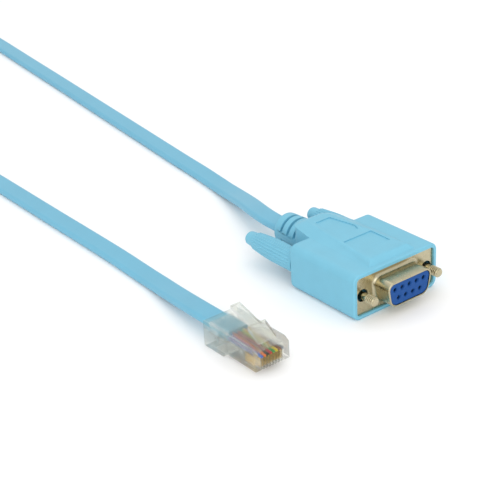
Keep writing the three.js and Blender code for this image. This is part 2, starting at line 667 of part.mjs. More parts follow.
function plugBody() {
  const side = [
    [0, PLUG_STEP], [STEP_START, PLUG_STEP], [STEP_END, 0], [PLUG_LENGTH, 0],
    [PLUG_LENGTH, PLUG_TOP], [NOSE_CHAMFER, PLUG_TOP], [0, NOSE_TOP],
  ];
  const jacketHalf = CABLE_WIDTH / 2 + GAP;
  const jacketHeight = CABLE_THICKNESS / 2 + GAP;
  const pocket = CLAMP_POCKET;
  const cuts = [
    block(
      [-jacketHalf, JACKET_END - GAP, JACKET_LEVEL - jacketHeight],
      [jacketHalf, PLUG_LENGTH + OVERSHOOT, JACKET_LEVEL + jacketHeight],
    ),
    block([-CHAMBER_HALF, NOSE_WALL, CHAMBER_BOTTOM], [CHAMBER_HALF, JACKET_END, CHAMBER_TOP]),
    block([-pocket.half, pocket.front, -OVERSHOOT], [pocket.half, pocket.rear, pocket.top]),
  ];
  for (const place of wayPlaces()) {
    const x = place * WAY_PITCH;
    cuts.push(block([x - WAY_WIDTH / 2, -OVERSHOOT, 0], [x + WAY_WIDTH / 2, WAY_LENGTH, WAY_TOP]));
  }
  const whole = solid(acrossPlug(side, PLUG_WIDTH, PLUG_EDGE));
  const body = cuts.map(solid).reduce((left, cut) => left.subtract(cut), whole);
  return mesh('plug_body', geometryOf(body), clear);
}

function plugLatch() {
  const root = PLUG_TOP + GAP;
  const wide = [
    [LATCH_ROOT, root],
    [LATCH_ROOT + LATCH_THICKNESS, root],
    [SHOULDER_Y, SHOULDER_TOP - SHOULDER_HEIGHT],
    [SHOULDER_Y, SHOULDER_TOP],
    [LATCH_ROOT, root + LATCH_FOOT],
  ];
  const tail = [
    [SHOULDER_Y - LATCH_THICKNESS, TAIL_START_TOP - LATCH_FOOT],
    [TAIL_END, TAIL_TOP - LATCH_THICKNESS],
    [TAIL_END, TAIL_TOP],
    [SHOULDER_Y - LATCH_THICKNESS, TAIL_START_TOP],
  ];
  const body = solid(acrossPlug(wide, LATCH_WIDTH)).add(solid(acrossPlug(tail, TAIL_WIDTH)));
  return mesh('plug_latch', geometryOf(body), clear);
}

// Each wire runs from the jacket's end to its place at the nose, with a blade under it
function wiresAndBlades() {
  const pieces = [];
  wayPlaces().forEach((place, i) => {
    const x = place * WAY_PITCH;
    const start = new THREE.Vector3(place * JACKET_PITCH, JACKET_END - GAP, JACKET_LEVEL);
    const end = new THREE.Vector3(x, NOSE_WALL + FIT, WIRE_END_LEVEL);
    const fanned = new THREE.Vector3(x, WAY_LENGTH + OVERSHOOT, (JACKET_LEVEL + WIRE_END_LEVEL) / 2);
    const path = new THREE.QuadraticBezierCurve3(start, fanned, end);
    const round = new THREE.Shape().absarc(0, 0, WIRE_RADIUS, 0, 2 * Math.PI);
    const wire = new THREE.ExtrudeGeometry(round, {
      steps: 5, curveSegments: 4, bevelEnabled: false, extrudePath: path,
    });
    const colour = new THREE.MeshStandardMaterial({ color: WIRE_COLOURS[i], roughness: 0.5 });
    pieces.push(mesh(`wire_${i + 1}`, wire, colour));
    const reach = path.getPointAt(0.5).z - WIRE_RADIUS - WIRE_BELOW;
    const blade = block(
      [x - BLADE_WIDTH / 2, BLADE_FRONT, BLADE_BOTTOM],
      [x + BLADE_WIDTH / 2, BLADE_REAR, reach],
    );
    pieces.push(mesh(`contact_blade_${i + 1}`, blade, gold));
  });
  return pieces;
}

const connector = new THREE.Group();
connector.add(hood(), flangeShell(), insulator(), ...socketContacts());
for (const [side, x] of [['left', -SCREW_X], ['right', SCREW_X]]) {
  connector.add(screw(side, x), knob(side, x));
}

const plug = new THREE.Group();
plug.add(plugBody(), plugLatch(), ...wiresAndBlades());
plug.position.set(PLUG_X, PLUG_NOSE_Y, 0);

const cable = new THREE.Group();
cable.add(
  mesh('cable_to_hood', flatTube(HOOD_RUN, quarterTurn(...HOOD_RUN_TURN), CABLE_STEPS.hood), jacket),
  mesh('cable_to_plug', flatTube(PLUG_RUN, quarterTurn(...PLUG_RUN_TURN), CABLE_STEPS.plug), jacket),
  coil(),
  coilCentre(),
);
TIE_ANGLES.forEach((angle, i) => cable.add(tie(`cable_tie_${i + 1}`, angle)));

const group = new THREE.Group();
group.add(connector, cable, plug);

export default group;
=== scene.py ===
"""Console cable: a flat light-blue cable with a nine-way D connector and a clear modular plug."""

import math
from contextlib import contextmanager
from types import SimpleNamespace

import bmesh
import bpy
from mathutils import Matrix, Vector


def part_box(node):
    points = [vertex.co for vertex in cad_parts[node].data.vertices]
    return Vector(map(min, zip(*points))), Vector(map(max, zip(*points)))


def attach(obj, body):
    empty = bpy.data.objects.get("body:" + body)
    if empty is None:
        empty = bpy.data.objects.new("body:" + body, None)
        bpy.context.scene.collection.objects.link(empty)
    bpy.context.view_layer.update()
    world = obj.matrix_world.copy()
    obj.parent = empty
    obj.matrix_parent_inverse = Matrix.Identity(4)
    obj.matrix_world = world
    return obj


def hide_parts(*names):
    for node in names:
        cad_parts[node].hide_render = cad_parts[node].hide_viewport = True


bl_info = {
    "name": "Console cable",
    "version": (1, 0, 0),
    "blender": (4, 5, 0),
    "location": "View3D > Sidebar > Console cable",
    "description": "Dresses a console cable with a D connector and a clear modular plug",
    "category": "Add Mesh",
}

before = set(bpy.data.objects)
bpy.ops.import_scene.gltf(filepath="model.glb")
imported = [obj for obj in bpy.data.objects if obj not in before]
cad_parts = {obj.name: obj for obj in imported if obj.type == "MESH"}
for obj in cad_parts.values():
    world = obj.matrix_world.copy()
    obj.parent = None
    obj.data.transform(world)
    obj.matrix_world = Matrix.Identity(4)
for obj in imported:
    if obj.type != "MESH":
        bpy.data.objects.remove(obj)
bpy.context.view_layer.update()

MM = 0.001
CLOSE = 0.01 * MM  # corners nearer than this lie in one plane
PARALLEL = 0.999  # share of its length that an edge runs along an axis it is parallel to
LEAST_BEND = math.radians(20)  # between two faces, for their edge to be rounded
Y, Z = 1, 2  # the axes along the connector and upwards
FLOOR_GAP = 0.06 * MM  # keeps the plug's clear underside out of the floor's plane

HOOD_LOW, HOOD_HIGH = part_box("hood")
FLANGE_LOW, FLANGE_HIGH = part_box("flange_shell")
INSULATOR_LOW, INSULATOR_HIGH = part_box("insulator")
PLUG_LOW, PLUG_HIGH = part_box("plug_body")
COIL_LOW, COIL_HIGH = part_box("cable_coil")
AXIS_Z = (FLANGE_LOW.z + FLANGE_HIGH.z) / 2  # height of the connector, its screws and the relief
PLUG_X = (PLUG_LOW.x + PLUG_HIGH.x) / 2
CONTACTS = [f"socket_contact_{i}" for i in range(1, 10)]
BLADES = [f"contact_blade_{i}" for i in range(1, 9)]
WIRES = [f"wire_{i}" for i in range(1, 9)]
SCREWS = ("left", "right")

# Roundings and clearances that are the same for every size of the part
PANEL_EDGE, NECK_EDGE = 0.4 * MM, 0.8 * MM  # round the panel's top, and under the neck
RELIEF_EDGE, SLOT_EDGE, SLOTS = 0.9 * MM, 0.15 * MM, 3
REAR_EDGE_SHARE = 1.5  # of the hood's rear edges beside its rim's
SCREW_PLAY = 0.2 * MM  # round each screw in its bore
HOLLOW_RADIUS, HOLLOW_DEPTH, HOLLOW_OVERLAP = 3.2 * MM, 8 * MM, 0.1 * MM  # round each screw
POCKET_HALF, POCKET_PLAY, POCKET_BACK = 8.85 * MM, 0.6 * MM, 0.2 * MM  # for the insulator in the hood
FLANGE_CORNER, FLANGE_EDGE, SHROUD_EDGE = 1.6 * MM, 0.15 * MM, 0.25 * MM
INSULATOR_PLAY, INSULATOR_EDGE = 0.12 * MM, 0.2 * MM
ENTRY_FLARE, ENTRY_DEPTH, ENTRY_OVERLAP = 0.25 * MM, 0.3 * MM, 0.1 * MM  # countersink of each socket entry
CONTACT_PLAY, CONTACT_GAP = 0.1 * MM, 0.3 * MM  # round each contact and in front of it
TIE_GAP, TIE_CORNER, TIE_EDGE = 0.3 * MM, 1.2 * MM, 0.12 * MM
JACKET_PLAY, LATCH_EDGE, BLADE_EDGE = 0.12 * MM, 0.15 * MM, 0.08 * MM

# The square recess in the panel: front and rear from the rim, and half width
SQUARE = (8.2 * MM, 16.3 * MM, 5.45 * MM)
# The six-sided recess: distance from the rim and half width at its front, its widest and its rear
HEXAGON = ((19.8 * MM, 3.7 * MM), (22.4 * MM, 4.6 * MM), (31.5 * MM, 2.8 * MM))

# Flat sides round each kind of turned piece, and steps round the shroud's drawn root
RELIEF_SIDES, BORE_SIDES, HOLE_SIDES, ENTRY_SIDES, SCREW_SIDES, KNOB_SIDES = 64, 32, 40, 24, 40, 88
FLARE_STEPS = 6

# The screw: its tip, and its thread between two levels below the full radius
TIP_SHARE, TIP_BEVEL, TIP_RUN = 0.55, 0.3 * MM, 0.15 * MM
THREAD_START, THREAD_LENGTH, RUN_OUT = 0.3 * MM, 3.2 * MM, 0.3 * MM
ROOT_DEPTH, SHANK_DEPTH = 0.38 * MM, 0.27 * MM
CREST_START, CREST_END = 0.25 * MM, 0.38 * MM  # behind the thread's root

# The knob: (depth below its full radius, distance from its front) at its front end, in millimetres
KNOB_FRONT = ((0.7, 0), (0.25, 0.12), (0, 0.6), (0, 1.1))
KNOB_STRAIGHT, KNOB_WAIST = 10.5 * MM, 19.2 * MM  # where its taper starts and where the ribs end
KNOB_TAPER, TAPER_CURVE, TAPER_STEPS = 0.65 * MM, 1.4, 5
WAIST_DEPTH, WAIST_RUN, STUB_START = 0.95 * MM, 0.12 * MM, 0.3 * MM
STUB_FOOT, STUB_RADIUS, STUB_ROUND = 2.3 * MM, 2.2 * MM, 1.1 * MM  # of the smooth end behind the ribs
RIB_LINES, GROOVE_LINES, GROOVE_DEPTH = 4, (2, 3), 0.22 * MM  # of every four lines, two lie in a groove
RIB_BAND = 0.7 * MM  # the outer skin that the grooves are pressed into

TIE_DEGREES = (100, 220)  # round the coil

# Hollows in the plug, in millimetres
WIRE_CHAMBER = (4.25, 0.8, 4.55, 6.75)  # half width, distance from the nose, underside and top
CLAMP_POCKET = (3.4, 15.3, 20, 3)  # half width, front and rear from the nose, and top
WAYS, WAY = 8, (0.27, 6.6, 5.65)  # half width, rear from the nose, and top of a blade's slot
# The latch behind its root: (distance, underside, top, half width) in millimetres
SHOULDER = [(0.05, 0, 0.7, 3), (0.9, 0.15, 1.2, 3), (2.5, 1.25, 2.45, 3), (4.5, 2.2, 3.7, 3)]
TAIL = [(3.6, 2.1, 2.9, 1.62), (6.5, 2.85, 3.75, 1.62), (9.5, 3.7, 4.7, 1.62), (13.6, 4.8, 5.8, 1.62)]
LATCH_SHEET = 0.05 * MM  # thickness of the plate that the latch is drawn from
WIRE_RADIUS, WIRE_REACH, WIRE_END = 0.4 * MM, 4.5 * MM, 0.2 * MM
# From the left as the plug lies, latch up
WIRE_COLOURS = [
    ("blue", "#3a62b0"), ("orange", "#e07020"), ("black", "#202020"), ("red", "#b02020"),
    ("green", "#2f8f3a"), ("yellow", "#d8c030"), ("brown", "#7a4a28"), ("grey", "#8f9398"),
]

FLOOR_SIZE, SENSOR = 6, 36  # metres, and millimetres across the camera's sensor
# Name, place, target, size in metres and power in watts
SOFTBOXES = [
    ("key_light", (-0.5, -0.6, 0.6), (0, 0, 0), 1.0, 3.2),
    ("front_light", (-0.5, -0.9, 0.25), (0, 0, 0), 0.8, 1.3),
    ("top_light", (0.3, 0.3, 1.0), (0, 0.1, 0), 0.9, 1.3),
]


def length(name, description, millimetres):
    """A size that a user would set, shown as a distance."""
    return bpy.props.FloatProperty(
        name=name, description=description, default=millimetres * MM, unit="LENGTH", precision=5
    )


def angle(name, description, degrees):
    """An angle that a user would set."""
    return bpy.props.FloatProperty(
        name=name, description=description, default=math.radians(degrees), subtype="ANGLE"
    )


def linear(text):
    """The linear red, green, blue and alpha of an sRGB hex colour."""
    parts = [int(text[i : i + 2], 16) / 255 for i in (1, 3, 5)]
    return (*[p / 12.92 if p <= 0.04045 else ((p + 0.055) / 1.055) ** 2.4 for p in parts], 1.0)


def colour(name, description, text):
    """A colour that a user would set."""
    return bpy.props.FloatVectorProperty(
        name=name, description=description, default=linear(text), size=4, subtype="COLOR", min=0, max=1
    )


class HoodSizes(bpy.types.PropertyGroup):
    depth: length("Depth", "From the rim to the hood's rear", 27.8)
    corner: length("Corner", "Radius of the four long edges", 2.4)
    edge: length("Edge", "Rounding of the rim's edges", 0.45)
    rim_wall: length("Rim wall", "Wall round the connector's flange", 1.2)
    panel_half: length("Panel half width", "At the foot of the panel's bevel", 8.75)
    panel_front: length("Panel front", "From the rim to the foot of the front bevel", 1.7)
    panel_rise: length("Panel rise", "Height of the raised panel", 1.5)
    front_bevel: length("Front bevel", "Run of the panel's front bevel", 1.9)
    side_bevel: length("Side bevel", "Run of the side bevel at the front", 1.65)
    rear_bevel: length("Rear bevel", "Run of the side bevel at the hood's rear", 3.9)
    neck_length: length("Neck length", "Behind the hood", 10)
    neck_half: length("Neck half width", "At the neck's end", 6.8)
    neck_bevel: length("Neck bevel", "Run of the bevel at the neck's end", 2.7)
    neck_corner: length("Neck corner", "Seen from above", 3)
    neck_bottom: length("Neck bottom", "Height of the neck's underside", 0.9)
    recess_depth: length("Recess depth", "Of both recesses in the panel", 0.3)
    relief_front: length("Relief front radius", "Where the strain relief leaves the neck", 5.6)
    relief_end: length("Relief end radius", "At the cable", 5.1)
    slot_pitch: length("Slot pitch", "Between the relief's slots", 3.2)
    slot_first: length("First slot", "From the neck's end", 1.3)
    slot_width: length("Slot width", "Along the cable", 1)
    slot_depth: length("Slot depth", "Into the relief", 2.1)
    web_height: length("Web height", "Of the solid webs at the relief's sides", 2.3)


class ConnectorSizes(bpy.types.PropertyGroup):
    plate: length("Flange thickness", "Sheet of the front shell", 0.8)
    shroud_half_width: length("Shroud half width", "At mid height, outside", 7.95)
    shroud_half_height: length("Shroud half height", "Outside", 3.95)
    shroud_corner: length("Shroud corner", "Outside radius", 2.5)
    shroud_wall: length("Shroud wall", "Sheet of the shroud", 0.45)
    root_flare: length("Root flare", "Spread of the shroud's drawn root", 0.9)
    hole_radius: length("Hole radius", "Clearance hole for each screw", 1.95)
    entry_radius: length("Entry radius", "Socket entries in the insulator", 0.6)
    thread_pitch: length("Thread pitch", "Of the screws", 0.635)
    slant: angle("Slant", "Lean of the D outline's sides", 10)


class CableSizes(bpy.types.PropertyGroup):
    width: length("Width", "Across the flat cable", 7)
    thickness: length("Thickness", "Through the flat cable", 2.4)
    edge: length("Edge", "Radius of the cable's edges", 1.05)
    coil_start: length("Coil start", "Radius where the turns begin", 31)
    strand_pitch: length("Strand pitch", "Between neighbouring turns", 2.6)
    entry_radius: length("Entry radius", "Where both strands leave the coil", 43.7)
    tie_width: length("Tie width", "Of each tie round the coil", 3)
    tie_thickness: length("Tie thickness", "Of each tie round the coil", 0.6)
    whole: bpy.props.FloatProperty(
        name="Length", description="From strain relief to plug", default=1.8, unit="LENGTH"
    )


class PlugSizes(bpy.types.PropertyGroup):
    step: length("Step", "Rise of the front part's underside", 1.6)
    step_start: length("Step start", "From the nose", 12.5)
    step_end: length("Step end", "From the nose", 14.4)
    nose_top: length("Nose top", "Height of the nose's upper edge", 6.8)
    nose_chamfer: length("Nose chamfer", "Run of the nose's upper chamfer", 1.8)
    edge: length("Edge", "Rounding of the plug's edges", 0.3)
    jacket_end: length("Jacket end", "From the nose to the end of the cable's jacket", 14.5)
    jacket_level: length("Jacket level", "Height of the cable's middle in the plug", 5.15)
    way_pitch: length("Way pitch", "Between the contacts", 1.02)


class Colours(bpy.types.PropertyGroup):
    vinyl: colour("Vinyl", "Hood and knobs", "#73b9d1")
    jacket: colour("Jacket", "Flat cable", "#68afca")
    nickel: colour("Nickel", "Flange and screws", "#c0b799")
    insulator: colour("Insulator", "Blue insulator", "#124a8e")
    gold: colour("Gold", "Contacts", "#d8b45a")
    clear: colour("Clear", "Modular plug", "#ecece2")
    tie: colour("Tie", "Ties round the coil", "#1b1b1d")
    floor: colour("Floor", "Studio floor", "#fafafa")


class StageSettings(bpy.types.PropertyGroup):
    camera_place: bpy.props.FloatVectorProperty(
        name="Camera place", description="Of the photograph", default=(-0.22822, -0.24873, 0.18404),
        subtype="TRANSLATION",
    )
    azimuth: angle("Azimuth", "Of the view", -36.97)
    elevation: angle("Elevation", "Of the view", 26.83)
    roll: angle("Roll", "Of the view", -3.07)
    lens: bpy.props.FloatProperty(name="Lens", description="On a 36 mm sensor, in mm", default=93.46)
    ambient: bpy.props.FloatProperty(name="Ambient", description="Strength of the white world", default=0.92)


def active(piece):
    """Selects one piece alone and makes it the active one."""
    bpy.ops.object.select_all(action="DESELECT")
    piece.select_set(True)
    bpy.context.view_layer.objects.active = piece


def added(name, operator, **settings):
    """Adds a primitive, names it and puts its place into its mesh."""
    bpy.ops.object.select_all(action="DESELECT")
    operator(**settings)
    piece = bpy.context.object
    piece.name = name
    piece.data.name = name
    bpy.ops.object.transform_apply(location=True, rotation=True, scale=True)
    return piece


def block(name, low, high):
    """A box between its lowest and highest corners."""
    low, high = Vector(low), Vector(high)
    return added(name, bpy.ops.mesh.primitive_cube_add, size=1, location=(low + high) / 2, scale=high - low)


@contextmanager
def editing(piece):
    """Edit mode on one piece, with nothing selected."""
    active(piece)
    bpy.ops.object.mode_set(mode="EDIT")
    bpy.ops.mesh.select_all(action="DESELECT")
    yield
    bpy.ops.object.mode_set(mode="OBJECT")


def pick(kind, test):
    """Selects the corners, edges or faces that pass the test, and nothing else."""
    bpy.ops.mesh.select_all(action="DESELECT")
    bpy.ops.mesh.select_mode(type=kind)
    data = bpy.context.edit_object.data
    shape = bmesh.from_edit_mesh(data)
    parts = {"VERT": shape.verts, "EDGE": shape.edges, "FACE": shape.faces}[kind]
    for part in [part for part in parts if test(part)]:
        part.select_set(True)
    bmesh.update_edit_mesh(data)


def lies_at(part, axis, value):
    """Whether a whole edge or face lies in the plane at that value."""
    return all(abs(corner.co[axis] - value) < CLOSE for corner in part.verts)


def runs_along(edge, axis):
    """Whether an edge runs parallel to an axis."""
    step = edge.verts[1].co - edge.verts[0].co
    return abs(step[axis]) > PARALLEL * step.length


def shift(x=0.0, y=0.0, z=0.0):
    bpy.ops.transform.translate(value=(x, y, z))


def scale(centre, x=1.0, y=1.0, z=1.0):
    bpy.ops.transform.resize(value=(x, y, z), center_override=centre)


def extrude(x=0.0, y=0.0, z=0.0):
    bpy.ops.mesh.extrude_region_move(TRANSFORM_OT_translate={"value": (x, y, z)})


def round_edges(radius, segments, test):
    """Rounds the edges that pass the test."""
    pick("EDGE", test)
    bpy.ops.mesh.bevel(offset=radius, segments=segments, affect="EDGES")


def face_outwards():
    bpy.ops.mesh.select_all(action="SELECT")
    bpy.ops.mesh.normals_make_consistent(inside=False)


def turned(name, rings, sides, x, z=AXIS_Z):
    """A round piece along Y: a disc, extruded and scaled from ring to ring of (radius, y)."""
    (radius, y), *others = rings
    piece = added(
        name, bpy.ops.mesh.primitive_circle_add, vertices=sides, radius=radius, fill_type="NGON",
        location=(x, y, z), rotation=(math.pi / 2, 0, 0),
    )
    with editing(piece):
        bpy.ops.mesh.select_all(action="SELECT")
        for next_radius, next_y in others:
            extrude(y=next_y - y)
            share = next_radius / radius
            scale((x, next_y, z), x=share, z=share)
            radius, y = next_radius, next_y
        face_outwards()
    return piece


def rod(name, radius, front, end, sides, x):
    """A plain round piece along Y at the connector's height."""
    return turned(name, [(radius, front), (radius, end)], sides, x)


def rounded_end(radius, end, rounding, steps):
    """The rings that lead from a round side to the end face."""
    turns = [math.radians(90 * k / steps) for k in range(steps + 1)]
    return [(radius - rounding * (1 - math.cos(t)), end - rounding * (1 - math.sin(t))) for t in turns]


def round_part(low, high):
    """Where a round piece along Y lies, from the corners of its box."""
    return SimpleNamespace(
        x=(low.x + high.x) / 2, z=(low.z + high.z) / 2, radius=(high.x - low.x) / 2, front=low.y, end=high.y
    )


def apply(piece, kind, **settings):
    """Adds a modifier with its settings and applies it."""
    modifier = piece.modifiers.new(kind.title(), kind)
    for name, value in settings.items():
        setattr(modifier, name, value)
    active(piece)
    bpy.ops.object.modifier_apply(modifier=modifier.name)


def combine(piece, other, way):
    """Joins another solid to a piece, or cuts it out, and removes the other."""
    apply(piece, "BOOLEAN", object=other, operation=way, solver="EXACT")
    bpy.data.objects.remove(other)


def copied(piece, name, x=0.0, y=0.0, z=0.0):
    """A copy with a mesh of its own, moved in its mesh."""
    copy = piece.copy()
    copy.data = piece.data.copy()
    copy.name = name
    copy.data.name = name
    bpy.context.scene.collection.objects.link(copy)
    copy.data.transform(Matrix.Translation((x, y, z)))
    return copy


def joined(pieces):
    """One object of several that don't touch."""
    bpy.ops.object.select_all(action="DESELECT")
    for piece in pieces:
        piece.select_set(True)
    bpy.context.view_layer.objects.active = pieces[0]
    bpy.ops.object.join()
    return bpy.context.object


def dress(piece, body, material, nodes, angle=35):
    """Smooths a finished piece, gives it its material and ties it to the frame."""
    active(piece)
    bpy.ops.object.shade_smooth_by_angle(angle=math.radians(angle))
    apply(piece, "WEIGHTED_NORMAL", keep_sharp=True)
    piece.data.materials.clear()
    piece.data.materials.append(material)
    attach(piece, body)
    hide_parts(*nodes)


def socket(sockets, name):
    """A socket by its identifier or its name."""
    return next(s for s in sockets if name in (s.identifier, s.name))


def add_node(tree, kind, inputs=None, **settings):
    """Adds a node, sets it, and sets or links its inputs."""
    node = tree.nodes.new(kind)
    for name, value in settings.items():
        setattr(node, name, value)
    for name, value in (inputs or {}).items():
        target = socket(node.inputs, name)
        if isinstance(value, bpy.types.NodeSocket):
            tree.links.new(value, target)
        else:
            target.default_value = value
    return node


def new_material(name, **inputs):
    """A material with one shader, whose constant sockets are set here."""
    material = bpy.data.materials.new(name)
    material.use_nodes = True
    tree = material.node_tree
    shader = tree.nodes["Principled BSDF"]
    for socket_name, value in inputs.items():
        shader.inputs[socket_name.replace("_", " ")].default_value = value
    return material, tree, shader


def shade(base, share):
    """A darker shade of a colour, or a lighter one with a share above 1."""
    return (*[part * share for part in base[:3]], 1.0)


def own_place(tree):
    """The place on the piece itself."""
    return add_node(tree, "ShaderNodeTexCoord").outputs["Object"]


def noise(tree, place, size, detail):
    """Noise with features of about this size."""
    inputs = {"Vector": place, "Scale": 1 / size, "Detail": detail}
    return add_node(tree, "ShaderNodeTexNoise", inputs).outputs["Fac"]


def vary_colour(tree, shader, amount, base, low, high):
    """Lets the colour run between two shades of the base."""
    tint = add_node(
        tree, "ShaderNodeMix", data_type="RGBA",
        inputs={"Factor_Float": amount, "A_Color": shade(base, low), "B_Color": shade(base, high)},
    )
    tree.links.new(socket(tint.outputs, "Result_Color"), shader.inputs["Base Color"])


def vary_gloss(tree, shader, amount, low, high):
    """Lets the roughness run between two values."""
    gloss = add_node(tree, "ShaderNodeMapRange", {"Value": amount, "To Min": low, "To Max": high})
    tree.links.new(gloss.outputs["Result"], shader.inputs["Roughness"])


def vary_height(tree, shader, amount, strength, depth):
    """Lets the surface rise and fall slightly."""
    bump = add_node(tree, "ShaderNodeBump", {"Height": amount, "Strength": strength, "Distance": depth})
    tree.links.new(bump.outputs["Normal"], shader.inputs["Normal"])


def moulded_vinyl(name, base, roughness):
    """Flexible PVC, injection moulded: a matt skin from the eroded tool, with faint flow mottling."""
    material, tree, shader = new_material(name, IOR=1.53)
    place = own_place(tree)
    # Flow marks some 5 mm across change the colour by a few hundredths
    mottle = noise(tree, place, 5 * MM, 3)
    vary_colour(tree, shader, mottle, base, 0.93, 1.05)
    vary_gloss(tree, shader, mottle, roughness - 0.05, roughness + 0.07)
    # The tool's spark texture has a grain near 0.15 mm
    vary_height(tree, shader, noise(tree, place, 0.15 * MM, 2), 0.18, 0.02 * MM)
    return material


def extruded_vinyl(base):
    """Flexible PVC, extruded as a cable jacket: satin, with faint lines drawn along it by the die."""
    material, tree, shader = new_material("Extruded PVC jacket", IOR=1.53)
    vary_colour(tree, shader, noise(tree, own_place(tree), 9 * MM, 2), base, 0.95, 1.04)
    run = add_node(tree, "ShaderNodeUVMap", uv_map="run").outputs["UV"]
    # The die's lines are 0.2 mm apart across the cable and some 60 mm long
    across, along = 0.2 * MM, 60 * MM
    stretch = add_node(tree, "ShaderNodeMapping", {"Vector": run, "Scale": (1 / across, 1 / along, 1)})
    lines = noise(tree, stretch.outputs["Vector"], 1, 2)
    vary_gloss(tree, shader, lines, 0.36, 0.5)
    vary_height(tree, shader, lines, 0.15, 0.03 * MM)
    return material


def nickel_plate(name, base, roughness):
    """Bright nickel on pressed or turned steel: a warm metal with cloudy patches in its gloss."""
    material, tree, shader = new_material(name, Metallic=1.0)
    place = own_place(tree)
    # Plating clouds about 2 mm across
    cloud = noise(tree, place, 2 * MM, 4)
    vary_colour(tree, shader, cloud, base, 0.85, 1.1)
    vary_gloss(tree, shader, cloud, roughness - 0.06, roughness + 0.1)
    # Fine tool marks, 0.1 mm apart
    vary_height(tree, shader, noise(tree, place, 0.1 * MM, 1), 0.1, 0.01 * MM)
    return material


def gold_plate(base):
    """Gold flashed on copper alloy: smooth, with slight wear to its gloss."""
    material, tree, shader = new_material("Gold plate", Base_Color=base, Metallic=1.0)
    vary_gloss(tree, shader, noise(tree, own_place(tree), 0.4 * MM, 3), 0.18, 0.34)
    return material


def glass_filled_polyester(base):
    """PBT with glass fibre, injection moulded: deep blue, satin, with the fibres' fine flecks."""
    material, tree, shader = new_material("Glass-filled PBT", IOR=1.57, Specular_IOR_Level=0.2)
    flecks = noise(tree, own_place(tree), 0.3 * MM, 3)
    vary_colour(tree, shader, flecks, base, 0.85, 1.12)
    vary_gloss(tree, shader, flecks, 0.5, 0.65)
    return material


def clear_polycarbonate(base):
    """Polycarbonate, injection moulded clear: glossy and see-through, with slight flow waves."""
    material, tree, shader = new_material(
        "Clear polycarbonate", Base_Color=base, Transmission_Weight=0.92, IOR=1.2, Alpha=0.55
    )
    # Flow waves some 3 mm long haze the surface here and there
    waves = noise(tree, own_place(tree), 3 * MM, 2)
    vary_gloss(tree, shader, waves, 0.03, 0.1)
    vary_height(tree, shader, waves, 0.2, 0.05 * MM)
    return material


def plain_plastic(name, base, low, high, grain):
    """An extruded or moulded plastic whose gloss varies at the given grain in millimetres."""
    material, tree, shader = new_material(name, Base_Color=base, IOR=1.5)
    vary_gloss(tree, shader, noise(tree, own_place(tree), grain * MM, 2), low, high)
    return material


def floor_paint(base):
    """Painted studio floor: pale and matt."""
    return new_material("Studio floor", Base_Color=base, Roughness=0.9)[0]


class CABLE_OT_stage(bpy.types.Operator):
    """Makes the camera, the studio light and the floor"""

    bl_idname = "console_cable.stage"
    bl_label = "Stage"

    def execute(self, context):
        stage = context.scene.cable_stage
        a, e, r = stage.azimuth, stage.elevation, stage.roll
        back = Vector((math.sin(a) * math.cos(e), -math.cos(a) * math.cos(e), math.sin(e)))
        right = Vector((math.cos(a), math.sin(a), 0))
        up = back.cross(right)
        across = right * math.cos(r) + up * math.sin(r)
        upright = up * math.cos(r) - right * math.sin(r)
        bpy.ops.object.select_all(action="DESELECT")
        bpy.ops.object.camera_add()
        camera = context.object
        camera.name = "camera"
        turn = Matrix((across, upright, back)).transposed().to_4x4()
        camera.matrix_world = Matrix.Translation(stage.camera_place) @ turn
        camera.data.sensor_width = SENSOR
        camera.data.lens = stage.lens
        camera.data.clip_start = 0.01
        context.scene.camera = camera

        floor = added("floor", bpy.ops.mesh.primitive_plane_add, size=FLOOR_SIZE, location=(0, 0, 0))
        floor.data.materials.append(floor_paint(context.scene.cable_colours.floor))

        for name, place, target, size, power in SOFTBOXES:
            bpy.ops.object.select_all(action="DESELECT")
            bpy.ops.object.light_add(type="AREA", location=place)
            light = context.object
            light.name = name
            light.data.size = size
            light.data.energy = power
            light.rotation_euler = (Vector(target) - Vector(place)).to_track_quat("-Z", "Y").to_euler()

        world = bpy.data.worlds.new("studio")
        world.use_nodes = True
        background = world.node_tree.nodes["Background"]
        background.inputs["Color"].default_value = (1, 1, 1, 1)
        background.inputs["Strength"].default_value = stage.ambient
        context.scene.world = world
        context.scene.view_settings.view_transform = "Standard"
        return {"FINISHED"}


# The route of the cable in millimetres, from the strain relief to the coil
HOOD_RUN = [
    (0, 35.1, 7.15), (0.3, 43, 7.1), (1.4, 49, 6.75), (3, 54.5, 6.15), (4.9, 60, 5.25), (6.8, 65.5, 4.2),
    (8.6, 71, 3.1), (10.2, 77, 2.2), (11.5, 83, 1.6), (12.6, 89, 1.35), (14.1, 100, 1.3),
    (15.7, 114.7, 1.3), (17.7, 131.7, 1.3), (20.4, 154.6, 1.3), (23.5, 181.1, 1.3), (28.1, 220.1, 1.3),
    (31.8, 252.4, 1.3), (35.4, 283, 1.3), (37.4, 300, 1.35), (38.6, 310, 2), (39.7, 320, 3.3),
    (40.9, 330, 4.2), (41.97, 339.67, 4.4),
]
HOOD_RUN_TURN = (300, 338)  # where along Y it turns onto its edge
# From inside the plug to the coil
PLUG_RUN = [
    (-48.7, -3.2, 5.15), (-48.7, 4, 5.15), (-48.6, 9, 5.1), (-48.4, 14, 4.85), (-47.9, 19, 4.35),
    (-47.2, 24.5, 3.65), (-46.4, 30, 2.9), (-45.6, 35.5, 2.2), (-44.9, 41, 1.65), (-44.5, 47, 1.35),
    (-44.2, 54, 1.3), (-43.8, 66, 1.3), (-43.6, 84, 1.3), (-43.5, 104, 1.3), (-43.3, 124, 1.3),
    (-43.1, 144, 1.3), (-43, 160, 1.35), (-43, 175, 2.6), (-43, 190, 3.9), (-43, 208, 4.4),
    (-43, 226, 4.4), (-42, 245, 4.4), (-37.7, 263, 4.4), (-29.2, 278.3, 4.4), (-17.5, 290, 4.4),
    (-3, 298.3, 4.4), (13.55, 303.94, 4.4),
]
PLUG_RUN_TURN = (160, 205)
COIL_TURNS = 2.442  # of the strand that comes from the hood
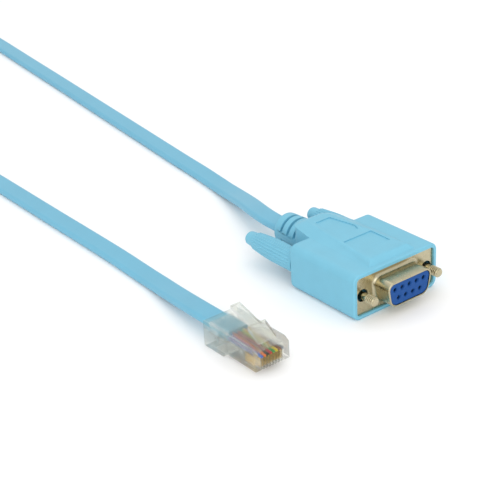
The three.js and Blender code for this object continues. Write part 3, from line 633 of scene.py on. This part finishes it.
COIL_ENTRY = -7  # degrees round the coil, where that strand joins
COIL_EXIT = 290  # degrees, where the plug's strand leaves
COIL_EASE = 40  # degrees over which it swings out before that
COIL_STEP = 3  # degrees between the rings of the cable in the coil
CENTRE_STEPS = 48  # rings in each half of the S in the coil's middle
EDGE_STEPS = 5  # round each edge of the flat cable
STEP = 2.0  # millimetres between the rings of the cable


def through(points, step):
    """Points at about even steps on a smooth curve through all the given ones."""
    points = [Vector(p) for p in points]
    ends = [2 * points[0] - points[1], *points, 2 * points[-1] - points[-2]]
    curve = []
    for p0, p1, p2, p3 in zip(ends, ends[1:], ends[2:], ends[3:]):
        knots = [0.0]
        for a, b in ((p0, p1), (p1, p2), (p2, p3)):
            knots.append(knots[-1] + math.sqrt((b - a).length))
        t0, t1, t2, t3 = knots
        count = max(1, round((p2 - p1).length / step))
        for k in range(count):
            t = t1 + (t2 - t1) * k / count
            a1 = p0.lerp(p1, (t - t0) / (t1 - t0))
            a2 = p1.lerp(p2, (t - t1) / (t2 - t1))
            a3 = p2.lerp(p3, (t - t2) / (t3 - t2))
            b1 = a1.lerp(a2, (t - t0) / (t2 - t0))
            b2 = a2.lerp(a3, (t - t1) / (t3 - t1))
            curve.append(b1.lerp(b2, (t - t1) / (t2 - t1)))
    return [*curve, points[-1]]


def eased(value, start, end):
    """How far a value has come from start to end, 0 to 1, with a soft start and finish."""
    share = min(1, max(0, (value - start) / (end - start)))
    return share * share * (3 - 2 * share)


def cable_route(sizes):
    """The cable's centreline from relief to plug, with its turn about itself at each point."""
    middle = (COIL_LOW + COIL_HIGH) / 2 / MM
    centre = Vector((middle.x, middle.y, HOOD_RUN[-1][Z]))
    start, pitch = sizes.coil_start / MM, sizes.strand_pitch / MM
    spread = 2 * pitch / 360  # how far both strands move outwards in each degree
    lead = COIL_ENTRY + 360 * COIL_TURNS  # degrees at which the S begins
    swing = Matrix.Rotation(math.radians(lead), 3, "Z")

    def round_coil(radius, degrees):
        turn = math.radians(degrees)
        return Vector((centre.x + radius * math.cos(turn), centre.y + radius * math.sin(turn), centre.z))

    def in_centre(bend, side):
        half = side * Vector((start / 2 * (1 + math.cos(bend)), start / 2 * math.sin(bend), 0))
        half.rotate(swing)
        return half + centre

    points = through(HOOD_RUN, STEP)
    turns = [eased(p.y, *HOOD_RUN_TURN) * math.pi / 2 for p in points]
    winding = []
    inwards = lead - COIL_ENTRY
    count = round(inwards / COIL_STEP)
    for k in range(1, count):
        degrees = inwards * (1 - k / count)
        winding.append(round_coil(start + spread * degrees, lead - degrees))
    winding += [in_centre(math.pi * k / CENTRE_STEPS, 1) for k in range(CENTRE_STEPS)]
    winding += [in_centre(math.pi * (1 - k / CENTRE_STEPS), -1) for k in range(CENTRE_STEPS)]
    outwards = lead + 180 - COIL_EXIT
    count = round(outwards / COIL_STEP)
    swing_out = sizes.entry_radius / MM - (start + spread * outwards)
    for k in range(count):
        degrees = outwards * k / count
        radius = start + spread * degrees + swing_out * eased(degrees, outwards - COIL_EASE, outwards)
        winding.append(round_coil(radius, lead + 180 - degrees))
    back = list(reversed(through(PLUG_RUN, STEP)))
    points += winding + back
    turns += [math.pi / 2] * len(winding)
    turns += [math.pi - eased(p.y, *PLUG_RUN_TURN) * math.pi / 2 for p in back]
    return [p * MM for p in points], turns


def flat_section(sizes):
    """The cable's outline: flat, with well rounded edges."""
    x, y, r = sizes.width / 2, sizes.thickness / 2, sizes.edge
    outline = []
    for sx, sy, start in ((1, -1, -90), (1, 1, 0), (-1, 1, 90), (-1, -1, 180)):
        for k in range(EDGE_STEPS + 1):
            turn = math.radians(start + 90 * k / EDGE_STEPS)
            outline.append((sx * (x - r) + r * math.cos(turn), sy * (y - r) + r * math.sin(turn)))
    return outline


class CABLE_OT_cable(bpy.types.Operator):
    """Sweeps the flat cable from the strain relief through its coil to the plug"""

    bl_idname = "console_cable.cable"
    bl_label = "Flat cable"

    def execute(self, context):
        sizes = context.scene.cable_sizes
        route, turns = cable_route(sizes)
        outline = flat_section(sizes)
        corners = []
        for i, (place, turn) in enumerate(zip(route, turns)):
            along = (route[min(i + 1, len(route) - 1)] - route[max(i - 1, 0)]).normalized()
            across = Vector((along.y, -along.x, 0)).normalized()
            across.rotate(Matrix.Rotation(turn, 3, along))
            over = along.cross(across)
            corners += [place + across * a + over * b for a, b in outline]
        sides = len(outline)
        faces = []
        for ring in range(len(route) - 1):
            for i in range(sides):
                a, b = ring * sides + i, ring * sides + (i + 1) % sides
                faces.append((a, a + sides, b + sides, b))
        last = (len(route) - 1) * sides
        faces.append(tuple(range(sides)))
        faces.append(tuple(last + i for i in reversed(range(sides))))
        shape = bpy.data.meshes.new("flat_cable")
        shape.from_pydata(corners, [], faces)
        girth = [0.0]
        for a, b in zip(outline, outline[1:] + outline[:1]):
            girth.append(girth[-1] + math.dist(a, b))
        travelled = [0.0]
        for a, b in zip(route, route[1:]):
            travelled.append(travelled[-1] + (b - a).length)
        run = shape.uv_layers.new(name="run")
        for face in shape.polygons[:-2]:
            ring, i = divmod(face.index, sides)
            places = ((i, ring), (i, ring + 1), (i + 1, ring + 1), (i + 1, ring))
            for loop, (side, step) in zip(face.loop_indices, places):
                run.data[loop].uv = (girth[side], travelled[step])
        cable = bpy.data.objects.new("flat_cable", shape)
        context.scene.collection.objects.link(cable)
        with editing(cable):
            face_outwards()
        nodes = ["cable_to_hood", "cable_coil", "cable_coil_centre", "cable_to_plug"]
        material = extruded_vinyl(context.scene.cable_colours.jacket)
        dress(cable, "cable", material, nodes, angle=50)
        cable["route"] = [list(place) for place in route]
        return {"FINISHED"}


def edge_bends(edge):
    """Whether an edge lies between two faces at an angle."""
    return len(edge.link_faces) == 2 and edge.calc_face_angle() > LEAST_BEND


class CABLE_OT_hood(bpy.types.Operator):
    """Models the hood with its raised panel, neck and strain relief"""

    bl_idname = "console_cable.hood"
    bl_label = "Hood"

    def shell(self, sizes):
        """The hood's box, with its rim round the connector."""
        front, rear = HOOD_LOW.y, HOOD_LOW.y + sizes.depth
        top, wall = HOOD_HIGH.z - sizes.panel_rise, sizes.rim_wall
        shell = block("hood", (HOOD_LOW.x, front, HOOD_LOW.z), (HOOD_HIGH.x, rear, top))
        with editing(shell):
            round_edges(sizes.corner, 8, lambda edge: runs_along(edge, Y))
            round_edges(sizes.edge, 4, lambda edge: lies_at(edge, Y, front))
            round_edges(REAR_EDGE_SHARE * sizes.edge, 4, lambda edge: lies_at(edge, Y, rear))
            face_outwards()
        mouth = block(
            "mouth",
            (HOOD_LOW.x + wall, front - MM, HOOD_LOW.z + wall),
            (HOOD_HIGH.x - wall, FLANGE_HIGH.y, top - wall),
        )
        with editing(mouth):
            round_edges(sizes.corner - wall, 8, lambda edge: runs_along(edge, Y))
        combine(shell, mouth, "DIFFERENCE")
        return shell

    def panel(self, sizes):
        """The raised panel, which runs on behind the hood as the neck."""
        front, rear = HOOD_LOW.y + sizes.panel_front, HOOD_LOW.y + sizes.depth
        end = rear + sizes.neck_length
        top, bottom, half = HOOD_HIGH.z - sizes.panel_rise, sizes.neck_bottom, sizes.panel_half

        def raised(corner):
            return corner.co.z > top + CLOSE

        panel = block("panel", (-half, front, bottom), (half, rear, top))
        with editing(panel):
            pick("FACE", lambda face: lies_at(face, Y, rear))
            extrude(y=sizes.neck_length)
            scale((0, end, 0), x=sizes.neck_half / half)
            round_edges(sizes.neck_corner, 6, lambda edge: lies_at(edge, Y, end) and runs_along(edge, Z))
            pick("FACE", lambda face: lies_at(face, Z, top))
            extrude(z=sizes.panel_rise)
            pick("VERT", lambda corner: raised(corner) and corner.co.y < front + CLOSE)
            scale((0, front, 0), x=1 - sizes.side_bevel / half)
            shift(y=sizes.front_bevel)
            pick("VERT", lambda corner: raised(corner) and abs(corner.co.y - rear) < CLOSE)
            scale((0, rear, 0), x=1 - sizes.rear_bevel / half)
            pick("VERT", lambda corner: raised(corner) and corner.co.y > rear + CLOSE)
            bevel = sizes.neck_bevel
            scale((0, rear, 0), x=1 - bevel / sizes.neck_half, y=1 - bevel / sizes.neck_length)
            round_edges(PANEL_EDGE, 3, lambda edge: lies_at(edge, Z, HOOD_HIGH.z) and edge_bends(edge))
            round_edges(NECK_EDGE, 3, lambda edge: lies_at(edge, Z, bottom) and edge_bends(edge))
            face_outwards()
        return panel

    def relief(self, sizes):
        """The round strain relief with its slots."""
        rear = HOOD_LOW.y + sizes.depth
        neck_end = rear + sizes.neck_length
        rings = [(sizes.relief_front, rear), (sizes.relief_front, neck_end)]
        rings += rounded_end(sizes.relief_end, HOOD_HIGH.y, RELIEF_EDGE, 4)
        relief = turned("relief", rings, RELIEF_SIDES, 0)
        core, reach = sizes.relief_front - sizes.slot_depth, sizes.relief_front + MM
        web, width = sizes.web_height / 2, sizes.slot_width
        slot = rod("slot", reach, 0, width, RELIEF_SIDES, 0)
        combine(slot, rod("slot_core", core, -MM, width + MM, RELIEF_SIDES, 0), "DIFFERENCE")
        webs = block("webs", (-2 * reach, -MM, AXIS_Z - web), (2 * reach, width + MM, AXIS_Z + web))
        combine(slot, webs, "DIFFERENCE")
        first = neck_end + sizes.slot_first - width / 2
        for i in range(SLOTS):
            combine(relief, copied(slot, f"slot_{i}", y=first + i * sizes.slot_pitch), "DIFFERENCE")
        bpy.data.objects.remove(slot)
        limit = math.radians(50)
        apply(relief, "BEVEL", width=SLOT_EDGE, segments=2, limit_method="ANGLE", angle_limit=limit)
        return relief

    def recesses(self, sizes):
        """Cutters for the square recess in front and the six-sided one behind it."""
        rim, bottom, above = HOOD_LOW.y, HOOD_HIGH.z - sizes.recess_depth, HOOD_HIGH.z + MM
        front, rear, half = SQUARE
        square = block("front_recess", (-half, rim + front, bottom), (half, rim + rear, above))
        (front, half), (middle, widest), (rear, narrow) = HEXAGON
        hexagon = block("rear_recess", (-half, rim + front, bottom), (half, rim + middle, above))
        with editing(hexagon):
            pick("FACE", lambda face: lies_at(face, Y, rim + middle))
            scale((0, 0, 0), x=widest / half)
            extrude(y=rear - middle)
            scale((0, 0, 0), x=narrow / widest)
        return [square, hexagon]

    def openings(self, sizes):
        """Cutters for the bore and the hollow of each screw, and for the insulator's pocket."""
        flange, rear = FLANGE_HIGH.y, HOOD_LOW.y + sizes.depth + MM
        for side in SCREWS:
            screw = round_part(*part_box(f"screw_{side}"))
            yield rod("bore", screw.radius + SCREW_PLAY, flange - MM, rear, BORE_SIDES, screw.x)
            start, end = flange - HOLLOW_OVERLAP, flange + HOLLOW_DEPTH
            yield rod("hollow", HOLLOW_RADIUS, start, end, BORE_SIDES, screw.x)
        yield block(
            "pocket",
            (-POCKET_HALF, flange - MM, INSULATOR_LOW.z - POCKET_PLAY),
            (POCKET_HALF, INSULATOR_HIGH.y + POCKET_BACK, INSULATOR_HIGH.z + POCKET_PLAY),
        )

    def execute(self, context):
        sizes = context.scene.hood_sizes
        hood = self.shell(sizes)
        combine(hood, self.panel(sizes), "UNION")
        combine(hood, self.relief(sizes), "UNION")
        for cutter in (*self.recesses(sizes), *self.openings(sizes)):
            combine(hood, cutter, "DIFFERENCE")
        material = moulded_vinyl("Moulded PVC", context.scene.cable_colours.vinyl, 0.5)
        dress(hood, "cable", material, ["hood"])
        return {"FINISHED"}


def d_prism(name, sizes, inset, front, rear):
    """A prism of the connector's D outline along Y, moved inwards by inset."""
    y = sizes.shroud_half_height - inset
    x = sizes.shroud_half_width - inset / math.cos(sizes.slant)
    lean = y * math.tan(sizes.slant)
    prism = block(name, (-x, front, AXIS_Z - y), (x, rear, AXIS_Z + y))
    with editing(prism):
        pick("VERT", lambda corner: corner.co.z < AXIS_Z)
        scale((0, 0, AXIS_Z), x=(x - lean) / x)
        pick("VERT", lambda corner: corner.co.z > AXIS_Z)
        scale((0, 0, AXIS_Z), x=(x + lean) / x)
        round_edges(sizes.shroud_corner - inset, 8, lambda edge: runs_along(edge, Y))
    return prism


class CABLE_OT_connector(bpy.types.Operator):
    """Models the plated front shell, the blue insulator and its socket contacts"""

    bl_idname = "console_cable.connector"
    bl_label = "D connector"

    def front_shell(self, sizes):
        """The flange with its screw holes, and the D-shaped shroud drawn out of it."""
        plate_front = FLANGE_HIGH.y - sizes.plate
        plate = block("flange", (FLANGE_LOW.x, plate_front, FLANGE_LOW.z), FLANGE_HIGH)
        with editing(plate):
            round_edges(FLANGE_CORNER, 6, lambda edge: runs_along(edge, Y))
            round_edges(FLANGE_EDGE, 2, lambda edge: lies_at(edge, Y, plate_front))
        flare, wide, tall = sizes.root_flare, sizes.shroud_half_width, sizes.shroud_half_height
        spread, y = 0.0, plate_front - flare
        shroud = d_prism("shroud", sizes, 0, FLANGE_LOW.y, y)
        with editing(shroud):
            round_edges(SHROUD_EDGE, 3, lambda edge: lies_at(edge, Y, FLANGE_LOW.y))
            pick("FACE", lambda face: lies_at(face, Y, plate_front - flare))
            for k in range(1, FLARE_STEPS + 1):
                turn = math.radians(90 * k / FLARE_STEPS)
                next_y = plate_front - flare * (1 - math.sin(turn))
                wider = flare * (1 - math.cos(turn))
                extrude(y=next_y - y)
                scale(
                    (0, 0, AXIS_Z), x=(wide + wider) / (wide + spread), z=(tall + wider) / (tall + spread)
                )
                spread, y = wider, next_y
            extrude(y=sizes.plate / 2)
            face_outwards()
        combine(plate, shroud, "UNION")
        inside = d_prism("inside", sizes, sizes.shroud_wall, FLANGE_LOW.y - MM, FLANGE_HIGH.y + MM)
        combine(plate, inside, "DIFFERENCE")
        for side in SCREWS:
            x = round_part(*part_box(f"screw_{side}")).x
            hole = rod("hole", sizes.hole_radius, plate_front - MM, FLANGE_HIGH.y + MM, HOLE_SIDES, x)
            combine(plate, hole, "DIFFERENCE")
        return plate

    def insulator(self, sizes):
        """The blue moulding with a countersunk entry and a cavity for each contact."""
        front, rear, entry = INSULATOR_LOW.y, INSULATOR_HIGH.y, sizes.entry_radius
        body = d_prism("blue_insulator", sizes, sizes.shroud_wall + INSULATOR_PLAY, front, rear)
        with editing(body):
            round_edges(INSULATOR_EDGE, 3, lambda edge: lies_at(edge, Y, front))
        entries = []
        for node in CONTACTS:
            contact = round_part(*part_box(node))
            cavity, start = contact.radius + CONTACT_PLAY, contact.front - CONTACT_GAP
            rings = [
                (entry + ENTRY_FLARE + ENTRY_OVERLAP, front - ENTRY_OVERLAP), (entry + ENTRY_FLARE, front),
                (entry, front + ENTRY_DEPTH), (entry, start), (cavity, start), (cavity, rear + MM),
            ]
            entries.append(turned("entry", rings, ENTRY_SIDES, contact.x, contact.z))
        combine(body, joined(entries), "DIFFERENCE")
        return body

    def execute(self, context):
        sizes = context.scene.connector_sizes
        colours = context.scene.cable_colours
        shell = self.front_shell(sizes)
        shell.name = "front_shell"
        plate = nickel_plate("Nickel plate on sheet steel", colours.nickel, 0.26)
        dress(shell, "cable", plate, ["flange_shell"])
        body = self.insulator(sizes)
        dress(body, "cable", glass_filled_polyester(colours.insulator), ["insulator"])
        gold = gold_plate(colours.gold)
        for node in CONTACTS:
            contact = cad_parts[node]
            contact.data.materials.clear()
            contact.data.materials.append(gold)
        return {"FINISHED"}


class CABLE_OT_thumbscrews(bpy.types.Operator):
    """Models both thumbscrews: a threaded screw in a ribbed knob"""

    bl_idname = "console_cable.thumbscrews"
    bl_label = "Thumbscrews"

    def screw(self, sizes, name, low, high):
        """The steel screw: a bevelled tip, a thread and a plain shank."""
        part = round_part(low, high)
        radius, y = part.radius, part.front
        shank, root = radius - SHANK_DEPTH, radius - ROOT_DEPTH
        rings = [(TIP_SHARE * radius, y), (radius - TIP_BEVEL, y + TIP_RUN)]
        y += THREAD_START
        while y < part.front + THREAD_LENGTH:
            rings += [(root, y), (radius, y + CREST_START), (radius, y + CREST_END)]
            y += sizes.thread_pitch
        rings += [(root, y), (shank, y + RUN_OUT), (shank, part.end)]
        return turned(name, rings, SCREW_SIDES, part.x)

    def knob(self, name, low, high):
        """The ribbed sleeve: straight, then tapered to a waist, with a smooth rounded end."""
        part = round_part(low, high)
        radius, straight, waist = part.radius, part.front + KNOB_STRAIGHT, part.front + KNOB_WAIST
        rings = [(radius - depth * MM, part.front + along * MM) for depth, along in KNOB_FRONT]
        rings.append((radius, straight))
        for k in range(1, TAPER_STEPS + 1):
            share = k / TAPER_STEPS
            rings.append((radius - KNOB_TAPER * share ** TAPER_CURVE, straight + (waist - straight) * share))
        rings += [(radius - WAIST_DEPTH, waist + WAIST_RUN), (STUB_FOOT, waist + STUB_START)]
        rings += rounded_end(STUB_RADIUS, part.end, STUB_ROUND, 5)
        knob = turned(name, rings, KNOB_SIDES, part.x)

        def in_groove(corner):
            out, up = corner.co.x - part.x, corner.co.z - AXIS_Z
            line = round(math.atan2(up, out) / math.tau * KNOB_SIDES) % RIB_LINES
            ribbed = part.front + MM < corner.co.y < waist + CLOSE
            return ribbed and line in GROOVE_LINES and math.hypot(up, out) > radius - RIB_BAND

        with editing(knob):
            pick("VERT", in_groove)
            share = 1 - GROOVE_DEPTH / radius
            scale((part.x, 0, AXIS_Z), x=share, z=share)
        return knob

    def execute(self, context):
        sizes = context.scene.connector_sizes
        colours = context.scene.cable_colours
        steel = nickel_plate("Nickel plate on turned steel", colours.nickel, 0.24)
        vinyl = moulded_vinyl("Moulded PVC sleeve", colours.vinyl, 0.46)
        for side in SCREWS:
            screw = self.screw(sizes, f"thumbscrew_{side}_steel", *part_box(f"screw_{side}"))
            dress(screw, f"thumbscrew_{side}", steel, [f"screw_{side}"])
            knob = self.knob(f"thumbscrew_{side}_sleeve", *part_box(f"knob_{side}"))
            dress(knob, f"thumbscrew_{side}", vinyl, [f"knob_{side}"], angle=30)
        return {"FINISHED"}


class CABLE_OT_ties(bpy.types.Operator):
    """Models the two ties round the coil"""

    bl_idname = "console_cable.ties"
    bl_label = "Ties"

    def execute(self, context):
        sizes = context.scene.cable_sizes
        middle = (COIL_LOW + COIL_HIGH) / 2
        outer = (COIL_HIGH.x - COIL_LOW.x) / 2
        inner = sizes.coil_start - sizes.thickness / 2 - TIE_GAP
        wall, half = sizes.tie_thickness, sizes.tie_width / 2
        low = Vector((inner - TIE_GAP - wall, -half, COIL_LOW.z - TIE_GAP - wall))
        high = Vector((outer + TIE_GAP + wall, half, COIL_HIGH.z + TIE_GAP + wall))
        material = plain_plastic("Black polyamide", context.scene.cable_colours.tie, 0.35, 0.5, 1.5)

        def at_end(part):
            return lies_at(part, Y, -half) or lies_at(part, Y, half)

        for i, degrees in enumerate(TIE_DEGREES, 1):
            band = block(f"coil_tie_{i}", low, high)
            with editing(band):
                round_edges(TIE_CORNER, 6, lambda edge: runs_along(edge, Y))
                pick("FACE", at_end)
                bpy.ops.mesh.inset(thickness=wall, use_individual=True)
                bpy.ops.mesh.bridge_edge_loops()
                round_edges(TIE_EDGE, 2, lambda edge: edge_bends(edge) and at_end(edge))
                bpy.ops.mesh.select_all(action="SELECT")
                bpy.ops.transform.rotate(
                    value=-math.radians(degrees), orient_axis="Z", center_override=(0, 0, 0)
                )
                shift(x=middle.x, y=middle.y)
                face_outwards()
            dress(band, "cable", material, [f"cable_tie_{i}"])
        return {"FINISHED"}


class CABLE_OT_plug(bpy.types.Operator):
    """Models the clear modular plug with its latch, wires and contact blades"""

    bl_idname = "console_cable.plug"
    bl_label = "Modular plug"

    def hollow(self, name, half, front, rear, bottom, top, x=PLUG_X):
        """A cutter for the plug, from its half width and its distances from the nose."""
        nose = PLUG_LOW.y
        return block(name, (x - half, nose + front, bottom), (x + half, nose + rear, top))

    def body(self, sizes, cable):
        """The clear body, stepped underneath, with its hollows and the slots for the blades."""
        nose, depth = PLUG_LOW.y, PLUG_HIGH.y - PLUG_LOW.y
        body = block("clear_plug", PLUG_LOW + Vector((0, 0, FLOOR_GAP)), PLUG_HIGH)
        step = nose + sizes.step_start + CLOSE
        with editing(body):
            for distance in (sizes.nose_chamfer, sizes.step_start, sizes.step_end):
                bpy.ops.mesh.select_all(action="SELECT")
                bpy.ops.mesh.bisect(plane_co=(0, nose + distance, 0), plane_no=(0, 1, 0))
            pick("VERT", lambda corner: corner.co.z < FLOOR_GAP + CLOSE and corner.co.y < step)
            shift(z=sizes.step - FLOOR_GAP)
            pick("VERT", lambda corner: corner.co.z > PLUG_HIGH.z - CLOSE and corner.co.y < nose + CLOSE)
            shift(z=sizes.nose_top - PLUG_HIGH.z)
            round_edges(sizes.edge, 3, edge_bends)
            face_outwards()
        half, thick = cable.width / 2 + JACKET_PLAY, cable.thickness / 2 + JACKET_PLAY
        level, jacket = sizes.jacket_level, sizes.jacket_end
        hole = (half, jacket - JACKET_PLAY, depth + MM, level - thick, level + thick)
        wide, start, low, high = (value * MM for value in WIRE_CHAMBER)
        clamp, clamp_start, clamp_end, clamp_top = (value * MM for value in CLAMP_POCKET)
        for cutter in (
            self.hollow("jacket_hole", *hole),
            self.hollow("wire_chamber", wide, start, jacket, low, high),
            self.hollow("clamp_pocket", clamp, clamp_start, clamp_end, -MM, clamp_top),
        ):
            combine(body, cutter, "DIFFERENCE")
        half, reach, top = (value * MM for value in WAY)
        places = [PLUG_X + (i - (WAYS - 1) / 2) * sizes.way_pitch for i in range(WAYS)]
        slots = [self.hollow("way", half, -MM, reach, 0, top, x) for x in places]
        combine(body, joined(slots), "DIFFERENCE")
        return body

    def strip(self, name, stations):
        """A strip that runs back from the latch's root, drawn from station to station."""
        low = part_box("plug_latch")[0]
        (y, bottom, top, half), *others = stations
        end = low.y + y * MM
        strip = block(
            name,
            (PLUG_X - half * MM, end - LATCH_SHEET, low.z + bottom * MM),
            (PLUG_X + half * MM, end, low.z + top * MM),
        )
        with editing(strip):
            for y, next_bottom, next_top, next_half in others:
                next_end = low.y + y * MM
                pick("FACE", lambda face: lies_at(face, Y, end))
                extrude(y=next_end - end, z=(next_bottom - bottom) * MM)
                centre = (PLUG_X, next_end, low.z + next_bottom * MM)
                scale(centre, x=next_half / half, z=(next_top - next_bottom) / (top - bottom))
                bottom, top, half, end = next_bottom, next_top, next_half, next_end
            face_outwards()
        return strip

    def latch(self):
        """A wide shoulder from the nose upwards, with a narrow tail that runs on behind it."""
        latch = self.strip("clear_latch", SHOULDER)
        combine(latch, self.strip("tail", TAIL), "UNION")
        limit = math.radians(40)
        apply(latch, "BEVEL", width=LATCH_EDGE, segments=2, limit_method="ANGLE", angle_limit=limit)
        return latch

    def wires(self):
        """One insulated wire in place of each straight one, with a smooth bend at both ends."""
        made = []
        for node, (name, text) in zip(WIRES, WIRE_COLOURS):
            low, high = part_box(node)
            corners = [corner.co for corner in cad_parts[node].data.vertices]
            front = [place for place in corners if place.y < low.y + CLOSE]
            rear = [place for place in corners if place.y > high.y - WIRE_END]
            ends = [sum(places, Vector()) / len(places) for places in (rear, front)]
            path = bpy.data.curves.new(f"{name}_wire", "CURVE")
            path.dimensions = "3D"
            path.bevel_depth = WIRE_RADIUS
            path.bevel_resolution = 4
            path.use_fill_caps = True
            spline = path.splines.new("BEZIER")
            spline.bezier_points.add(1)
            for point, place, reach in zip(spline.bezier_points, ends, (-WIRE_REACH, WIRE_REACH)):
                point.co = place
                point.handle_left = place + Vector((0, -reach, 0))
                point.handle_right = place + Vector((0, reach, 0))
            spline.resolution_u = 16
            wire = bpy.data.objects.new(f"{name}_wire", path)
            bpy.context.scene.collection.objects.link(wire)
            active(wire)
            bpy.ops.object.convert(target="MESH")
            wire = bpy.context.object
            material = plain_plastic(f"{name.title()} wire insulation", linear(text), 0.28, 0.42, 0.8)
            dress(wire, "cable", material, [node], angle=60)
            made.append(wire)
        return made

    def blades(self, gold):
        """The gold contact blades in their slots."""
        made = []
        for node in BLADES:
            low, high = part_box(node)
            blade = block(f"gold_{node}", low, high)

            def at_end(edge, low=low, high=high):
                return edge_bends(edge) and (lies_at(edge, Z, low.z) or lies_at(edge, Z, high.z))

            with editing(blade):
                round_edges(BLADE_EDGE, 2, at_end)
            dress(blade, "cable", gold, [node])
            made.append(blade)
        return made

    def execute(self, context):
        colours = context.scene.cable_colours
        cable_sizes = context.scene.cable_sizes
        clear = clear_polycarbonate(colours.clear)
        body = self.body(context.scene.plug_sizes, cable_sizes)
        dress(body, "cable", clear, ["plug_body"])
        latch = self.latch()
        dress(latch, "latch", clear, ["plug_latch"])
        inside = self.wires() + self.blades(gold_plate(colours.gold))
        cable = bpy.data.objects["flat_cable"]
        del cable["route"]
        return {"FINISHED"}


class CABLE_PT_panel(bpy.types.Panel):
    """Lists the pieces of the console cable"""

    bl_label = "Console cable"
    bl_idname = "CABLE_PT_panel"
    bl_space_type = "VIEW_3D"
    bl_region_type = "UI"
    bl_category = "Console cable"

    def draw(self, context):
        for operator in OPERATORS:
            self.layout.operator(operator.bl_idname)


GROUPS = {
    "hood_sizes": HoodSizes,
    "connector_sizes": ConnectorSizes,
    "cable_sizes": CableSizes,
    "plug_sizes": PlugSizes,
    "cable_colours": Colours,
    "cable_stage": StageSettings,
}
OPERATORS = [
    CABLE_OT_stage, CABLE_OT_cable, CABLE_OT_hood, CABLE_OT_connector, CABLE_OT_thumbscrews, CABLE_OT_ties,
    CABLE_OT_plug,
]


def register():
    for part in (*GROUPS.values(), *OPERATORS, CABLE_PT_panel):
        bpy.utils.register_class(part)
    for name, group in GROUPS.items():
        setattr(bpy.types.Scene, name, bpy.props.PointerProperty(type=group))


def unregister():
    for name in GROUPS:
        delattr(bpy.types.Scene, name)
    for part in reversed((*GROUPS.values(), *OPERATORS, CABLE_PT_panel)):
        bpy.utils.unregister_class(part)


def main():
    register()
    bpy.ops.console_cable.stage()
    bpy.ops.console_cable.cable()
    bpy.ops.console_cable.hood()
    bpy.ops.console_cable.connector()
    bpy.ops.console_cable.thumbscrews()
    bpy.ops.console_cable.ties()
    bpy.ops.console_cable.plug()


if __name__ == "__main__":
    main()
